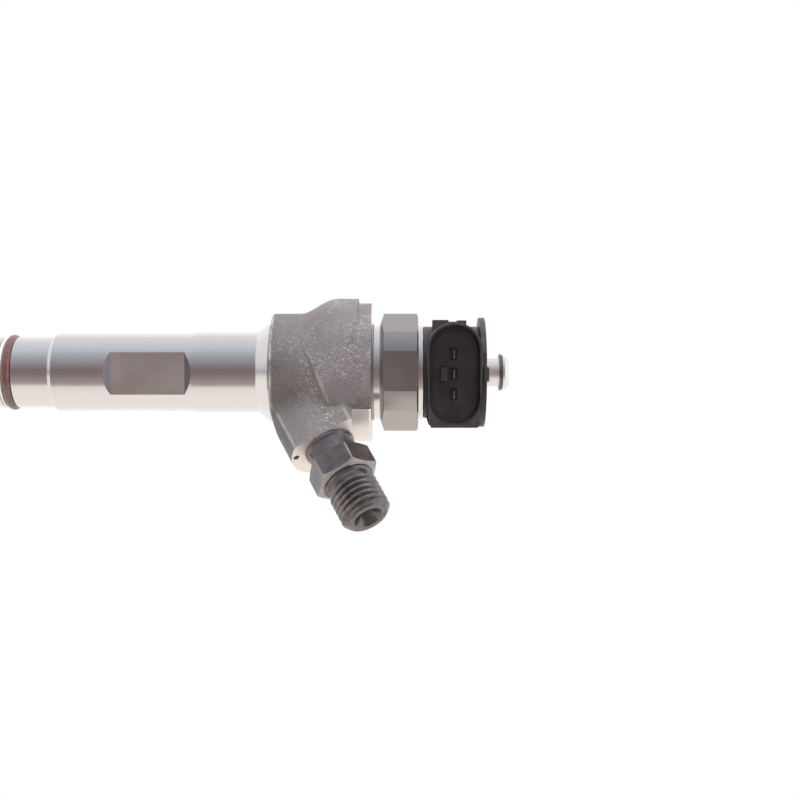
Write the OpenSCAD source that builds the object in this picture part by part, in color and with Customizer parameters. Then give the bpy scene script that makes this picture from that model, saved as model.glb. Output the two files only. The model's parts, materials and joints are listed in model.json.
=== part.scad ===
// Common-rail diesel injector with a solenoid valve, a side inlet and a plug-in connector.
// Millimetres. Z runs along the injector from the nozzle (down) to the return stub (up).
// The origin is on that axis, on the lower sealing face of the copper washer.
// The connector opens towards -Y and the inlet leans towards +X and -Y.

/* [Nozzle end] */
// Diameter of the nozzle shank that enters the combustion chamber
nozzle_shank_diameter = 7.0;  // [6.6:0.1:7.4]
// Length of the nozzle below the sealing washer
nozzle_projection = 18.5;  // [16:0.5:22]
// Thickness of the copper sealing washer
washer_thickness = 1.5;  // [1:0.1:3]
// Outer diameter of the copper sealing washer
washer_diameter = 15.0;  // [13.5:0.1:16.5]
// Length of the nozzle's guide collar
nozzle_collar_length = 18.0;  // [15:0.5:22]
// Outer diameter of the nozzle nut
nozzle_nut_diameter = 17.0;  // [16.4:0.1:17.4]
// How far the needle lifts off its seat
needle_lift = 0.25;  // [0.15:0.01:0.4]
// Number of spray holes in the nozzle's tip
spray_holes = 7;  // [5:1:9]

/* [Body] */
// Diameter of the body below the step, where the O-ring sits
lower_body_diameter = 17.4;  // [16.8:0.1:18.2]
// Length of that lower body
lower_body_length = 27.6;  // [22:0.1:33]
// Diameter of the long shank
shank_diameter = 19.0;  // [18.6:0.1:19.6]
// Length of the shank from the step to the head's cone
shank_length = 50.7;  // [42:0.1:60]
// Distance across the two clamp flats
flat_width = 16.0;  // [15.4:0.1:17]
// Length of the flats between their sloping ends
flat_length = 17.95;  // [12:0.05:21]
// Section diameter of the body O-ring
ring_section = 2.2;  // [1.8:0.1:2.4]

/* [Head] */
// Radius of the forged neck, and half the forging's thickness
neck_radius = 14.4;  // [13.6:0.1:15]
// Largest radius of the forging
shoulder_radius = 18.1;  // [17.4:0.1:19]
// Radius of the turned ring at the top of the head
head_ring_radius = 17.0;  // [16:0.1:17.3]
// Height of the forged head with its turned ring
head_height = 24.8;  // [24.8:0.1:30]

/* [Inlet] */
// Angle of the inlet above the plane across the injector
inlet_elevation = 25.7;  // [20:0.1:30]
// Angle of the inlet around the injector, from +X towards -Y
inlet_azimuth = 40;  // [20:1:60]
// Distance along the inlet from the injector's axis to the boss's machined face
inlet_boss_reach = 24.6;  // [24:0.1:30]
// Distance along the inlet from the injector's axis to its end
inlet_reach = 46.8;  // [44:0.1:56]
// Diameter of the inlet thread
inlet_thread_diameter = 12.0;  // [11.6:0.1:12.4]
// Pitch of the inlet thread
inlet_thread_pitch = 1.5;  // [1.25:0.25:1.75]
// Distance across the flats of the inlet's hexagon
inlet_hex_width = 14.0;  // [13:0.5:16]

/* [Solenoid and connector] */
// Distance across the flats of the solenoid nut
solenoid_hex_width = 27.4;  // [27:0.1:28]
// Diameter that the corners of the solenoid nut are turned to
solenoid_nut_diameter = 29.0;  // [28.6:0.1:30]
// Height of the solenoid nut
solenoid_nut_height = 9.3;  // [9.3:0.1:12]
// Length of the connector's opening along X
socket_length = 23.1;  // [22:0.1:24]
// Width of the connector's opening along Z
socket_width = 11.4;  // [11:0.1:12]
// Depth of the connector's opening
socket_depth = 10.0;  // [8:0.5:12]
// Spacing of the connector's blades
blade_pitch = 4.8;  // [4.4:0.1:5]
// How far the solenoid lifts the armature
armature_lift = 0.06;  // [0.04:0.01:0.1]
// Diameter of the return stub
stub_diameter = 7.1;  // [6.8:0.1:7.6]
// Diameter of the return stub's flange
stub_flange_diameter = 9.0;  // [8.6:0.1:9.6]

/* [Fits] */
// Radial gap of a lapped sliding guide
guide_gap = 0.02;  // [0.01:0.005:0.04]
// Radial gap of a part that is dropped or screwed in
seat_gap = 0.05;  // [0.03:0.01:0.08]

/* [Hidden] */
$fn = 96;
hair = 0.005;  // the least gap between two faces that meet on different bodies
cut = 1;       // how far a cutter stands proud of the face that it cuts

// Stations along the injector
nut_floor = 2.5;
collar_seat_z = washer_thickness + nut_floor;
joint_face_z = collar_seat_z + nozzle_collar_length;
body_thread_length = 15;
lower_z = joint_face_z + body_thread_length + 1.3;
step_z = lower_z + lower_body_length;
cone_z = step_z + shank_length;
head_z = cone_z + 2.7;
head_top_z = head_z + head_height;
nut_z = head_top_z + 2.0;
nut_top_z = nut_z + solenoid_nut_height;

// Nozzle
shank_r = nozzle_shank_diameter / 2;
relief_r = shank_r - 0.25;
nozzle_way_r = shank_r + 0.1;    // the washer and the nut pass over the shank
collar_r = 7.1;
needle_guide_r = 2.0;
needle_shaft_r = 1.25;
shank_bore_r = 1.8;
gallery_r = 3.0;
tip_z = -nozzle_projection;
sac_r = 1.15;
seat_angle = 60;
seat_drop = (shank_bore_r - 0.5) / tan(seat_angle / 2);
seat_z = tip_z + 1.4;            // where the seat cone reaches the sac hole
needle_shoulder_z = joint_face_z - needle_lift;
needle_pin_r = 1.3;
spring_chamber_r = 3.0;
spring_chamber_z = joint_face_z + 2;
spring_seat_z = spring_chamber_z + 1;
spring_seat_height = 1.6;
spring_shim_z = joint_face_z + 27;
chamber_top_z = spring_shim_z + 1;
nozzle_spring_r = 2.15;
nozzle_spring_wire = 1.1;
dowel_r = 0.8;
dowel_circle = 5.0;
dowel_depth = 3;

// High-pressure and return channels
channel_r = 0.75;
channel_circle = 5.9;

// Body
body_thread_r = 7.45;
shank_body_r = shank_diameter / 2;
lower_body_r = lower_body_diameter / 2;
band_r = shank_body_r + 0.325;
band_z = cone_z - 17.1;
flat_z = step_z + 15.1;
flat_half = flat_width / 2;
groove_width = ring_section + 0.9;
groove_z = step_z - 12;
groove_r = lower_body_r + 0.6 - ring_section - 0.05;
backup_thickness = 0.6;
ring_centre_z = groove_z + groove_width - ring_section / 2 - 0.1;
ring_centre_r = groove_r + ring_section / 2 + 0.05;

// Valve group, placed from the top of the head
valve_ledge_z = head_top_z - 33.1;
barrel_r = 4.5;
barrel_length = 16.5;
seal_height = 1.5;
barrel_z = valve_ledge_z + seal_height;
flange_z = barrel_z + barrel_length;
flange_r = 7.2;
flange_height = 3;
clamp_z = flange_z + flange_height;
clamp_height = 5;
clamp_r = 8.4;
clamp_bore_r = 4.4;
valve_face_z = clamp_z + 1.5;
chamber_floor_z = clamp_z + clamp_height;
chamber_r = 9.2;
piston_r = 2.15;
piston_rod_r = 1.3;
control_roof_z = barrel_z + 12;
piston_top_z = control_roof_z - 0.6;
throttle_r = 0.15;
ball_r = 0.675;
ball_seat_r = 0.9;
ball_z = valve_face_z - ball_seat_r + 2 * ball_r * cos(45) + hair;
guide_flange_r = chamber_r - seat_gap;
guide_height = 4.5;
guide_top_z = chamber_floor_z + guide_height;
armature_rod_r = 1.5;
cup_r = 2.0;
cup_z = ball_z + 0.35;

// Solenoid, placed from the top of the head
pole_z = head_top_z + 2.1;
shim_height = 0.6;
core_r = 7.7;
core_height = 6.2;
core_top_z = pole_z + core_height;
core_bore_r = 2.2;
slot_inner_r = 3.8;
slot_outer_r = 6.6;
slot_depth = 4.8;
air_gap = 0.06;
plate_top_z = pole_z - armature_lift - air_gap;
plate_height = 1.6;
plate_r = 6.9;
clip_height = 0.45;
rod_shoulder_z = plate_top_z + clip_height + 0.4;
valve_spring_r = 1.5;
valve_spring_wire = 0.6;
spigot_r = 10.9;
body_top_z = head_top_z + 6.9;
sleeve_flange_z = body_top_z + shim_height;
sleeve_flange_r = 11.35;
nut_lip_z = sleeve_flange_z + 1.9;
sleeve_ring_r = 10.4;
sleeve_top_z = nut_top_z + 1.1;
stub_base_r = 7.2;
stub_base_top_z = core_top_z + 2.1;
plug_r = 9.1;
post_r = 0.7;
post_y = -3.2;
lead_joint_z = stub_base_top_z + 1.5;  // where the coil's leads meet the blades' legs
nut_turn = 3.3;                  // where the nut's flats stop when it is tight
nut_skirt_r = 11.6;
nut_skirt_z = head_top_z + 0.5;
nut_hub_top_z = nut_top_z + 1.2;

// Connector head
pot_r = 11.3;
pot_z = nut_hub_top_z + 0.1;
cover_z = pot_z + 13.6;
cover_height = 1.7;
cover_r = 13.5;
rim_wall = 0.75;
rim_y = -19;
socket_z = cover_z - rim_wall - socket_width / 2;
socket_floor_y = rim_y + socket_depth;
blade_width = 2.3;
blade_thickness = 0.6;
blade_tip_y = rim_y + 4.5;
blade_root_y = socket_floor_y + 5.4;
pocket_length = 3.2;
pocket_width = 1.9;
pocket_height = 3.2;
lug_width = 3.4;
lug_height = 1.3;
stub_r = stub_diameter / 2;
stub_neck_r = 3.0;
stub_bore_r = 2.1;
stub_shoulder_z = cover_z + cover_height;
stub_flange_z = stub_shoulder_z + 3.4;
stub_top_z = stub_flange_z + 2.4;

// Inlet, measured along its own axis from the injector's axis
inlet_z = head_z + 4.2;
boss_face = inlet_boss_reach;
boss_r = 9.4;
boss_root_r = 10.3;
boss_hole_floor = boss_face - 9.4;
boss_thread_r = 5.75;
boss_facet = 6.6;                // the boss is flat on its front, this far from its axis
boss_facet_turn = -77;
spot_face_r = 7.4;
spot_face_depth = 0.4;
inlet_seal_height = 1;
fitting_collar_r = 6.2;
collar_length = 5.1;
hex_length = 6.0;
hex_turn = 18;                   // where the fitting's flats stop when it is tight
undercut_length = 1.55;
inlet_bore_r = 1.6;
filter_r = 1.95;
filter_length = 18;
mouth_r = 3.5;
thread_r = inlet_thread_diameter / 2;
thread_depth = 0.541 * inlet_thread_pitch;
undercut_r = thread_r - 0.75;
dimple_r = 0.75;
dimple_circle = 8.4;
dimple_turn = -3;
dimple_depth = 2.6;

// ---- Helpers ----

// A ring standing on z
module ring(z, outer_r, inner_r, height) {
    translate([0, 0, z])
        difference() {
            cylinder(r = outer_r, h = height);
            translate([0, 0, -cut])
                cylinder(r = inner_r, h = height + 2 * cut);
        }
}

// An O-ring of round section
module o_ring(z, centre_r, section) {
    translate([0, 0, z])
        rotate_extrude()
            translate([centre_r, 0])
                circle(d = section, $fn = 40);
}

// A compression spring between two faces, as closed coils that share its true wire,
// diameter and length
module spring(z, length, coil_r, wire, coils) {
    pitch = (length - wire) / (coils - 1);
    for (i = [0 : coils - 1])
        translate([0, 0, z + wire / 2 + i * pitch])
            rotate_extrude()
                translate([coil_r, 0])
                    circle(d = wire - 2 * hair, $fn = 24);
    difference() {
        ring(z + wire / 2, coil_r + wire * 0.2, coil_r - wire * 0.2, length - wire);
        for (turn = [0, 120, 240])
            rotate(turn)
                translate([0, 0, z - cut])
                    cube([coil_r + wire, coil_r * 0.9, length + 2 * cut]);
    }
}

// Places its children on the inlet's axis, with their z along the inlet
module on_inlet() {
    translate([0, 0, inlet_z])
        rotate([0, 90 - inlet_elevation, -inlet_azimuth])
            children();
}

// A hexagonal bar with both ends chamfered
module hex_bar(z, across_flats, corner_r, height, chamfer) {
    intersection() {
        translate([0, 0, z])
            cylinder(d = across_flats / cos(30), h = height, $fn = 6);
        translate([0, 0, z])
            rotate_extrude()
                polygon([[0, 0], [corner_r - chamfer * 2.5, 0], [corner_r, chamfer],
                         [corner_r, height - chamfer], [corner_r - chamfer * 2.5, height],
                         [0, height]]);
    }
}

// The straight drilling that feeds the nozzle, on the inlet's side of the axis
module feed_channel(z, top_z) {
    rotate(-inlet_azimuth)
        translate([channel_circle, 0, z])
            cylinder(r = channel_r, h = top_z - z, $fn = 32);
}

// ---- Nozzle end ----

module sealing_washer() {
    color([0.72, 0.45, 0.25])
        ring(0, washer_diameter / 2, nozzle_way_r, washer_thickness);
}

module nozzle_outline() {
    polygon([[0, tip_z], [sac_r * 0.6, tip_z], [sac_r, tip_z + 0.5],
             [sac_r, tip_z + 0.9], [shank_r, tip_z + 2.6], [shank_r, -0.1],
             [relief_r, -0.1], [relief_r, collar_seat_z], [collar_r - 0.5, collar_seat_z],
             [collar_r, collar_seat_z + 0.5], [collar_r, joint_face_z], [0, joint_face_z]]);
}

module nozzle_bore() {
    polygon([[0, seat_z - 0.6], [0.5, seat_z - 0.6], [0.5, seat_z],
             [shank_bore_r, seat_z + seat_drop], [shank_bore_r, collar_seat_z],
             [gallery_r, collar_seat_z + 1], [gallery_r, collar_seat_z + 3],
             [needle_guide_r + guide_gap, collar_seat_z + 4.5],
             [needle_guide_r + guide_gap, joint_face_z + cut], [0, joint_face_z + cut]]);
}

module nozzle_body() {
    feed_rise = nozzle_collar_length - 2;
    feed_run = channel_circle - gallery_r + 0.3;
    color([0.45, 0.45, 0.48])
        difference() {
            rotate_extrude()
                nozzle_outline();
            rotate_extrude()
                nozzle_bore();
            rotate(-inlet_azimuth)
                translate([channel_circle, 0, joint_face_z])
                    rotate([0, -atan(feed_run / feed_rise), 0])
                        translate([0, 0, -feed_rise])
                            cylinder(r = channel_r, h = feed_rise + cut, $fn = 32);
            for (i = [0 : spray_holes - 1])
                rotate(i * 360 / spray_holes)
                    translate([0.3, 0, seat_z - 0.35])
                        rotate([0, 105, 0])
                            cylinder(r = 0.08, h = 2, $fn = 16);
            dowel_holes(joint_face_z - dowel_depth);
        }
}

module nozzle_needle() {
    tip = seat_z + 0.15;
    color([0.62, 0.63, 0.66])
        rotate_extrude()
            polygon([[0, tip], [0.5 + (0.15 - hair * 2) * tan(seat_angle / 2), tip],
                     [needle_shaft_r, tip + (needle_shaft_r - 0.58) / tan(seat_angle / 2)],
                     [needle_shaft_r, collar_seat_z + 2.5],
                     [needle_guide_r, collar_seat_z + 4],
                     [needle_guide_r, needle_shoulder_z - hair],
                     [needle_pin_r, needle_shoulder_z - hair],
                     [needle_pin_r, spring_seat_z], [0, spring_seat_z]]);
}

module nozzle_nut() {
    nut_r = nozzle_nut_diameter / 2;
    height = joint_face_z + body_thread_length + 1 - washer_thickness;
    color([0.55, 0.56, 0.58])
        difference() {
            intersection() {
                translate([0, 0, washer_thickness])
                    rotate_extrude()
                        polygon([[0, 0], [nut_r - 1, 0], [nut_r, 1], [nut_r, height - 0.4],
                                 [nut_r - 0.4, height], [0, height]]);
                union() {
                    cylinder(r = nut_r + cut, h = joint_face_z + 3);
                    cylinder(d = (nut_r * 2 - 0.8) / cos(30), h = joint_face_z + 13, $fn = 6);
                    translate([0, 0, joint_face_z + 13])
                        cylinder(r = nut_r + cut, h = 10);
                }
            }
            cylinder(r = nozzle_way_r, h = joint_face_z);
            translate([0, 0, collar_seat_z])
                cylinder(r = collar_r + seat_gap, h = joint_face_z);
            translate([0, 0, joint_face_z - 0.5])
                cylinder(r = body_thread_r + seat_gap, h = body_thread_length + 5);
        }
}

module dowel_holes(z) {
    for (side = [-1, 1])
        rotate(90 - inlet_azimuth + side * 55)
            translate([0, dowel_circle * side, z])
                cylinder(r = dowel_r, h = dowel_depth * 2, $fn = 32);
}

module dowel_pins() {
    color([0.5, 0.5, 0.52])
        for (side = [-1, 1])
            rotate(90 - inlet_azimuth + side * 55)
                translate([0, dowel_circle * side, joint_face_z - dowel_depth + 0.1])
                    cylinder(r = dowel_r - hair, h = dowel_depth * 2 - 0.2, $fn = 32);
}

module needle_spring_seat() {
    color([0.6, 0.6, 0.62])
        translate([0, 0, spring_seat_z])
            cylinder(r = spring_chamber_r - 0.15, h = spring_seat_height);
}

module nozzle_spring() {
    start = spring_seat_z + spring_seat_height;
    color([0.35, 0.36, 0.38])
        spring(start, spring_shim_z - start, nozzle_spring_r, nozzle_spring_wire, 11);
}

module nozzle_spring_shim() {
    color([0.62, 0.62, 0.64])
        ring(spring_shim_z, spring_chamber_r - seat_gap, piston_rod_r + 0.3,
             chamber_top_z - spring_shim_z);
}

// ---- Body ----

// Radius of the forged head at a fraction of the way up its shoulder
function shoulder_r(t) = neck_radius + (shoulder_radius - neck_radius) * (1 - cos(180 * t)) / 2;

module turned_body() {
    rotate_extrude()
        polygon([[0, joint_face_z], [body_thread_r - 0.6, joint_face_z],
                 [body_thread_r, joint_face_z + 0.6],
                 [body_thread_r, joint_face_z + body_thread_length],
                 [body_thread_r - 0.6, joint_face_z + body_thread_length],
                 [body_thread_r - 0.6, lower_z], [lower_body_r - 0.4, lower_z],
                 [lower_body_r, lower_z + 0.4], [lower_body_r, groove_z],
                 [groove_r, groove_z], [groove_r, groove_z + groove_width],
                 [lower_body_r, groove_z + groove_width], [lower_body_r, step_z],
                 [shank_body_r, step_z + 0.95], [shank_body_r, band_z],
                 [band_r, band_z + 1.6], [band_r, cone_z - 0.4], [band_r + 0.3, cone_z],
                 [12.4, head_z], [12.4, head_z + 6], [0, head_z + 6]]);
}

module forged_head() {
    shoulder_z = head_z + 5.2;
    shoulder_rise = 11;
    shoulder_top_z = head_top_z - 3.1;
    trim_x = 9.2;          // the forging stops here, and the turned ring shows beyond
    trim_foot_z = head_top_z - 4.7;
    steps = 14;
    difference() {
        intersection() {
            rotate_extrude()
                polygon(concat([[0, head_z], [neck_radius - 1, head_z],
                                [neck_radius, head_z + 1]],
                               [for (i = [0 : steps])
                                    [shoulder_r(i / steps), shoulder_z + shoulder_rise * i / steps]],
                               [[shoulder_radius, shoulder_top_z], [0, shoulder_top_z]]));
            translate([-shoulder_radius * 2, -neck_radius, head_z])
                cube([shoulder_radius * 4, neck_radius * 2, head_height]);
        }
        translate([trim_x, -shoulder_radius * 2, trim_foot_z])
            cube([shoulder_radius * 2, shoulder_radius * 4, head_top_z - trim_foot_z + cut]);
    }
}

module turned_top() {
    ring_z = head_top_z - 5;
    rotate_extrude()
        polygon([[0, ring_z], [head_ring_radius, ring_z],
                 [head_ring_radius, head_top_z - 0.3], [head_ring_radius - 0.3, head_top_z],
                 [spigot_r, head_top_z], [spigot_r, body_top_z - 0.4],
                 [spigot_r - 0.4, body_top_z], [0, body_top_z]]);
}

module inlet_boss() {
    root = 5;
    on_inlet()
        difference() {
            translate([0, 0, root])
                cylinder(r1 = boss_root_r, r2 = boss_r, h = boss_face - root);
            rotate(boss_facet_turn)
                translate([boss_facet, -boss_root_r - cut, 0])
                    cube([boss_root_r, 2 * (boss_root_r + cut), boss_face + cut]);
        }
}

module body_bores() {
    bore_r = piston_r + 0.45;
    translate([0, 0, joint_face_z - cut])
        cylinder(r = needle_pin_r + 0.2, h = 3 + cut, $fn = 48);
    translate([0, 0, spring_chamber_z])
        cylinder(r = spring_chamber_r, h = chamber_top_z - spring_chamber_z);
    translate([0, 0, chamber_top_z - cut])
        cylinder(r = bore_r, h = valve_ledge_z - chamber_top_z + 2 * cut);
    translate([0, 0, valve_ledge_z])
        cylinder(r = barrel_r + seat_gap, h = flange_z - valve_ledge_z + cut);
    translate([0, 0, flange_z])
        cylinder(r = flange_r + seat_gap, h = flange_height + cut);
    translate([0, 0, clamp_z])
        cylinder(r = clamp_r + seat_gap, h = clamp_height + cut);
    translate([0, 0, chamber_floor_z])
        cylinder(r = chamber_r, h = body_top_z - chamber_floor_z + cut);
}

// The drilling that brings leakage up past the valve group
module return_channel() {
    foot_z = chamber_top_z + 12;
    run = 7.2;
    rise = clamp_z - foot_z;
    rotate(180 - inlet_azimuth)
        translate([1.2, 0, foot_z])
            rotate([0, atan(run / rise), 0])
                cylinder(r = channel_r, h = rise + 2, $fn = 32);
}

module clamp_flats() {
    slope = shank_body_r - flat_half + cut;
    for (side = [-1, 1])
        mirror([0, side > 0 ? 1 : 0, 0])
            translate([-shank_body_r - cut, 0, 0])
                rotate([90, 0, 90])
                    linear_extrude(height = 2 * (shank_body_r + cut))
                        polygon([[flat_half, flat_z], [flat_half + slope, flat_z - slope],
                                 [flat_half + slope, flat_z + flat_length + slope],
                                 [flat_half, flat_z + flat_length]]);
}

module inlet_bores() {
    on_inlet() {
        translate([0, 0, boss_hole_floor])
            cylinder(r = boss_thread_r + seat_gap, h = boss_face);
        translate([0, 0, barrel_r])
            cylinder(r = inlet_bore_r, h = boss_face, $fn = 48);
        translate([0, 0, boss_face - spot_face_depth])
            cylinder(r = spot_face_r, h = spot_face_depth + cut);
        rotate(dimple_turn)
            translate([dimple_circle, 0, boss_face - dimple_depth])
                cylinder(r = dimple_r, h = dimple_depth + cut, $fn = 32);
    }
}

module holder_body() {
    color([0.68, 0.68, 0.70])
        difference() {
            union() {
                turned_body();
                forged_head();
                turned_top();
                inlet_boss();
            }
            body_bores();
            feed_channel(joint_face_z - cut, flange_z - 0.8);
            return_channel();
            clamp_flats();
            inlet_bores();
            dowel_holes(joint_face_z - dowel_depth);
        }
}

module body_o_ring() {
    color([0.50, 0.16, 0.14])
        o_ring(ring_centre_z, ring_centre_r, ring_section);
}

module backup_ring() {
    color([0.85, 0.84, 0.80])
        ring(groove_z + 0.1, lower_body_r, groove_r + 0.02, backup_thickness);
}

// ---- Control valve ----

module control_piston() {
    foot_z = spring_seat_z + spring_seat_height;
    guide_z = barrel_z - 3;
    color([0.60, 0.61, 0.64])
        rotate_extrude()
            polygon([[0, foot_z], [piston_rod_r - 0.3, foot_z], [piston_rod_r, foot_z + 0.3],
                     [piston_rod_r, guide_z - 1], [piston_r, guide_z],
                     [piston_r, piston_top_z - 0.3], [piston_r - 0.3, piston_top_z],
                     [0, piston_top_z]]);
}

module valve_piece() {
    groove_foot_z = barrel_z + 7;
    groove_top_z = flange_z - 2;
    cone_foot_r = throttle_r * 2;
    color([0.55, 0.56, 0.58])
        difference() {
            rotate_extrude()
                polygon([[0, barrel_z], [barrel_r, barrel_z], [barrel_r, groove_foot_z],
                         [barrel_r - 0.6, groove_foot_z + 0.6],
                         [barrel_r - 0.6, groove_top_z - 0.6], [barrel_r, groove_top_z],
                         [barrel_r, flange_z], [flange_r, flange_z],
                         [flange_r, clamp_z], [3.2, clamp_z], [2.6, valve_face_z],
                         [0, valve_face_z]]);
            rotate_extrude()
                polygon([[0, barrel_z - cut], [piston_r + guide_gap, barrel_z - cut],
                         [piston_r + guide_gap, control_roof_z], [throttle_r, control_roof_z],
                         [throttle_r, valve_face_z - ball_seat_r + cone_foot_r - 1],
                         [cone_foot_r, valve_face_z - ball_seat_r + cone_foot_r - 1],
                         [cone_foot_r, valve_face_z - ball_seat_r + cone_foot_r],
                         [ball_seat_r, valve_face_z], [ball_seat_r, valve_face_z + cut],
                         [0, valve_face_z + cut]]);
            rotate(-inlet_azimuth)
                translate([0, 0, control_roof_z - 0.3])
                    rotate([0, 90, 0])
                        cylinder(r = throttle_r, h = barrel_r + cut, $fn = 24);
        }
}

module valve_seal_ring() {
    color([0.80, 0.78, 0.70])
        ring(valve_ledge_z, barrel_r, piston_r + 0.3, seal_height);
}

module valve_clamp_nut() {
    color([0.42, 0.42, 0.45])
        difference() {
            ring(clamp_z, clamp_r, clamp_bore_r, clamp_height);
            for (turn = [0 : 60 : 300])
                rotate(turn)
                    translate([6.2, 0, chamber_floor_z - 2.4])
                        cylinder(r = 0.9, h = 5, $fn = 32);
        }
}

module valve_ball() {
    color([0.30, 0.30, 0.32])
        translate([0, 0, ball_z])
            sphere(r = ball_r, $fn = 48);
}

module armature_cup() {
    pocket_top_z = ball_z + ball_r + hair;
    color([0.55, 0.55, 0.58])
        difference() {
            translate([0, 0, cup_z])
                cylinder(r = cup_r, h = pocket_top_z + 0.8 - cup_z);
            translate([0, 0, cup_z - cut])
                cylinder(r = ball_r + guide_gap, h = pocket_top_z - cup_z + cut, $fn = 48);
        }
}

module armature_rod() {
    foot_z = ball_z + ball_r + hair + 0.8;
    neck_z = plate_top_z;
    color([0.62, 0.63, 0.66])
        rotate_extrude()
            polygon([[0, foot_z], [cup_r, foot_z], [cup_r, foot_z + 0.6],
                     [armature_rod_r, foot_z + 0.6], [armature_rod_r, neck_z],
                     [armature_rod_r - 0.4, neck_z],
                     [armature_rod_r - 0.4, neck_z + clip_height],
                     [armature_rod_r, neck_z + clip_height], [armature_rod_r, rod_shoulder_z],
                     [valve_spring_r - 0.55, rod_shoulder_z],
                     [valve_spring_r - 0.55, rod_shoulder_z + 1.6], [0, rod_shoulder_z + 1.6]]);
}

module armature_plate() {
    color([0.48, 0.47, 0.46])
        difference() {
            ring(plate_top_z - plate_height - hair, plate_r, armature_rod_r + guide_gap,
                 plate_height);
            for (turn = [0 : 120 : 240])
                rotate(turn)
                    translate([4.6, 0, plate_top_z - plate_height - cut])
                        cylinder(r = 1.1, h = plate_height + 2 * cut, $fn = 48);
        }
}

module armature_clip() {
    color([0.38, 0.38, 0.40])
        difference() {
            ring(plate_top_z, core_bore_r - 0.12, armature_rod_r - 0.4, clip_height);
            translate([-(armature_rod_r - 0.5), 0, plate_top_z - cut])
                cube([2 * (armature_rod_r - 0.5), core_bore_r + cut, clip_height + 2 * cut]);
        }
}

module overtravel_spring() {
    length = plate_top_z - plate_height - guide_top_z - hair;
    color([0.35, 0.36, 0.38])
        spring(guide_top_z, length, 2.4, 0.45, 4);
}

module armature_guide() {
    color([0.50, 0.50, 0.53])
        difference() {
            rotate_extrude()
                polygon([[armature_rod_r + guide_gap, chamber_floor_z],
                         [guide_flange_r, chamber_floor_z],
                         [guide_flange_r, chamber_floor_z + 1.5], [3.4, chamber_floor_z + 1.5],
                         [3.4, guide_top_z], [armature_rod_r + guide_gap, guide_top_z]]);
            for (turn = [30 : 120 : 270])
                rotate(turn)
                    translate([5.8, 0, chamber_floor_z - cut])
                        cylinder(r = 1.2, h = 1.5 + 2 * cut, $fn = 48);
        }
}

// ---- Solenoid ----

module lift_shim() {
    color([0.66, 0.66, 0.68])
        ring(body_top_z, spigot_r, chamber_r, shim_height);
}

module magnet_sleeve() {
    skirt_r = chamber_r - seat_gap;
    o_ring_z = pole_z + 2.3;
    color([0.72, 0.72, 0.74])
        rotate_extrude()
            polygon([[core_r + seat_gap, pole_z], [skirt_r, pole_z], [skirt_r, o_ring_z - 0.7],
                     [skirt_r - 0.9, o_ring_z - 0.7], [skirt_r - 0.9, o_ring_z + 0.7],
                     [skirt_r, o_ring_z + 0.7], [skirt_r, sleeve_flange_z],
                     [sleeve_flange_r, sleeve_flange_z], [sleeve_flange_r, nut_lip_z],
                     [sleeve_ring_r, nut_lip_z], [sleeve_ring_r, sleeve_top_z],
                     [plug_r + seat_gap, sleeve_top_z], [plug_r + seat_gap, stub_base_top_z],
                     [stub_base_r + seat_gap, stub_base_top_z],
                     [stub_base_r + seat_gap, core_top_z], [core_r + seat_gap, core_top_z]]);
}

module magnet_o_ring() {
    section = 0.85;
    color([0.12, 0.12, 0.12])
        o_ring(pole_z + 2.3, chamber_r - 0.03 - section / 2, section);
}

module magnet_core() {
    color([0.30, 0.30, 0.33])
        difference() {
            ring(pole_z, core_r, core_bore_r, core_height);
            ring(pole_z - cut, slot_outer_r, slot_inner_r, slot_depth + cut);
            post_pair(pole_z, core_height + cut, post_r + seat_gap);
        }
}

// The two posts that carry the coil's leads up into the connector
module post_pair(z, height, radius) {
    for (side = [-1, 1])
        translate([side * blade_pitch, post_y, z])
            cylinder(r = radius, h = height, $fn = 48);
}

module coil_bobbin() {
    inner_r = slot_inner_r + seat_gap;
    outer_r = slot_outer_r - seat_gap;
    foot_z = pole_z + 0.2;
    top_z = pole_z + slot_depth - seat_gap;
    color([0.15, 0.15, 0.15]) {
        rotate_extrude()
            polygon([[inner_r, foot_z], [outer_r, foot_z], [outer_r, foot_z + 0.5],
                     [inner_r + 0.6, foot_z + 0.5], [inner_r + 0.6, top_z - 0.5],
                     [outer_r, top_z - 0.5], [outer_r, top_z], [inner_r, top_z]]);
        post_pair(top_z - 0.25, lead_joint_z + 0.25 - top_z, post_r);
    }
}

module coil_winding() {
    foot_z = pole_z + 0.7;
    height = slot_depth - seat_gap - 0.7 - 0.5;
    color([0.62, 0.30, 0.14])
        ring(foot_z, slot_outer_r - 0.3, slot_inner_r + seat_gap + 0.6, height);
}

module valve_spring() {
    color([0.35, 0.36, 0.38])
        spring(rod_shoulder_z, stub_base_top_z - 1.3 - rod_shoulder_z, valve_spring_r,
               valve_spring_wire, 6);
}

module valve_spring_shim() {
    color([0.66, 0.66, 0.68])
        ring(stub_base_top_z - 1.3, core_bore_r - seat_gap, 1.0, 0.4);
}

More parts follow.
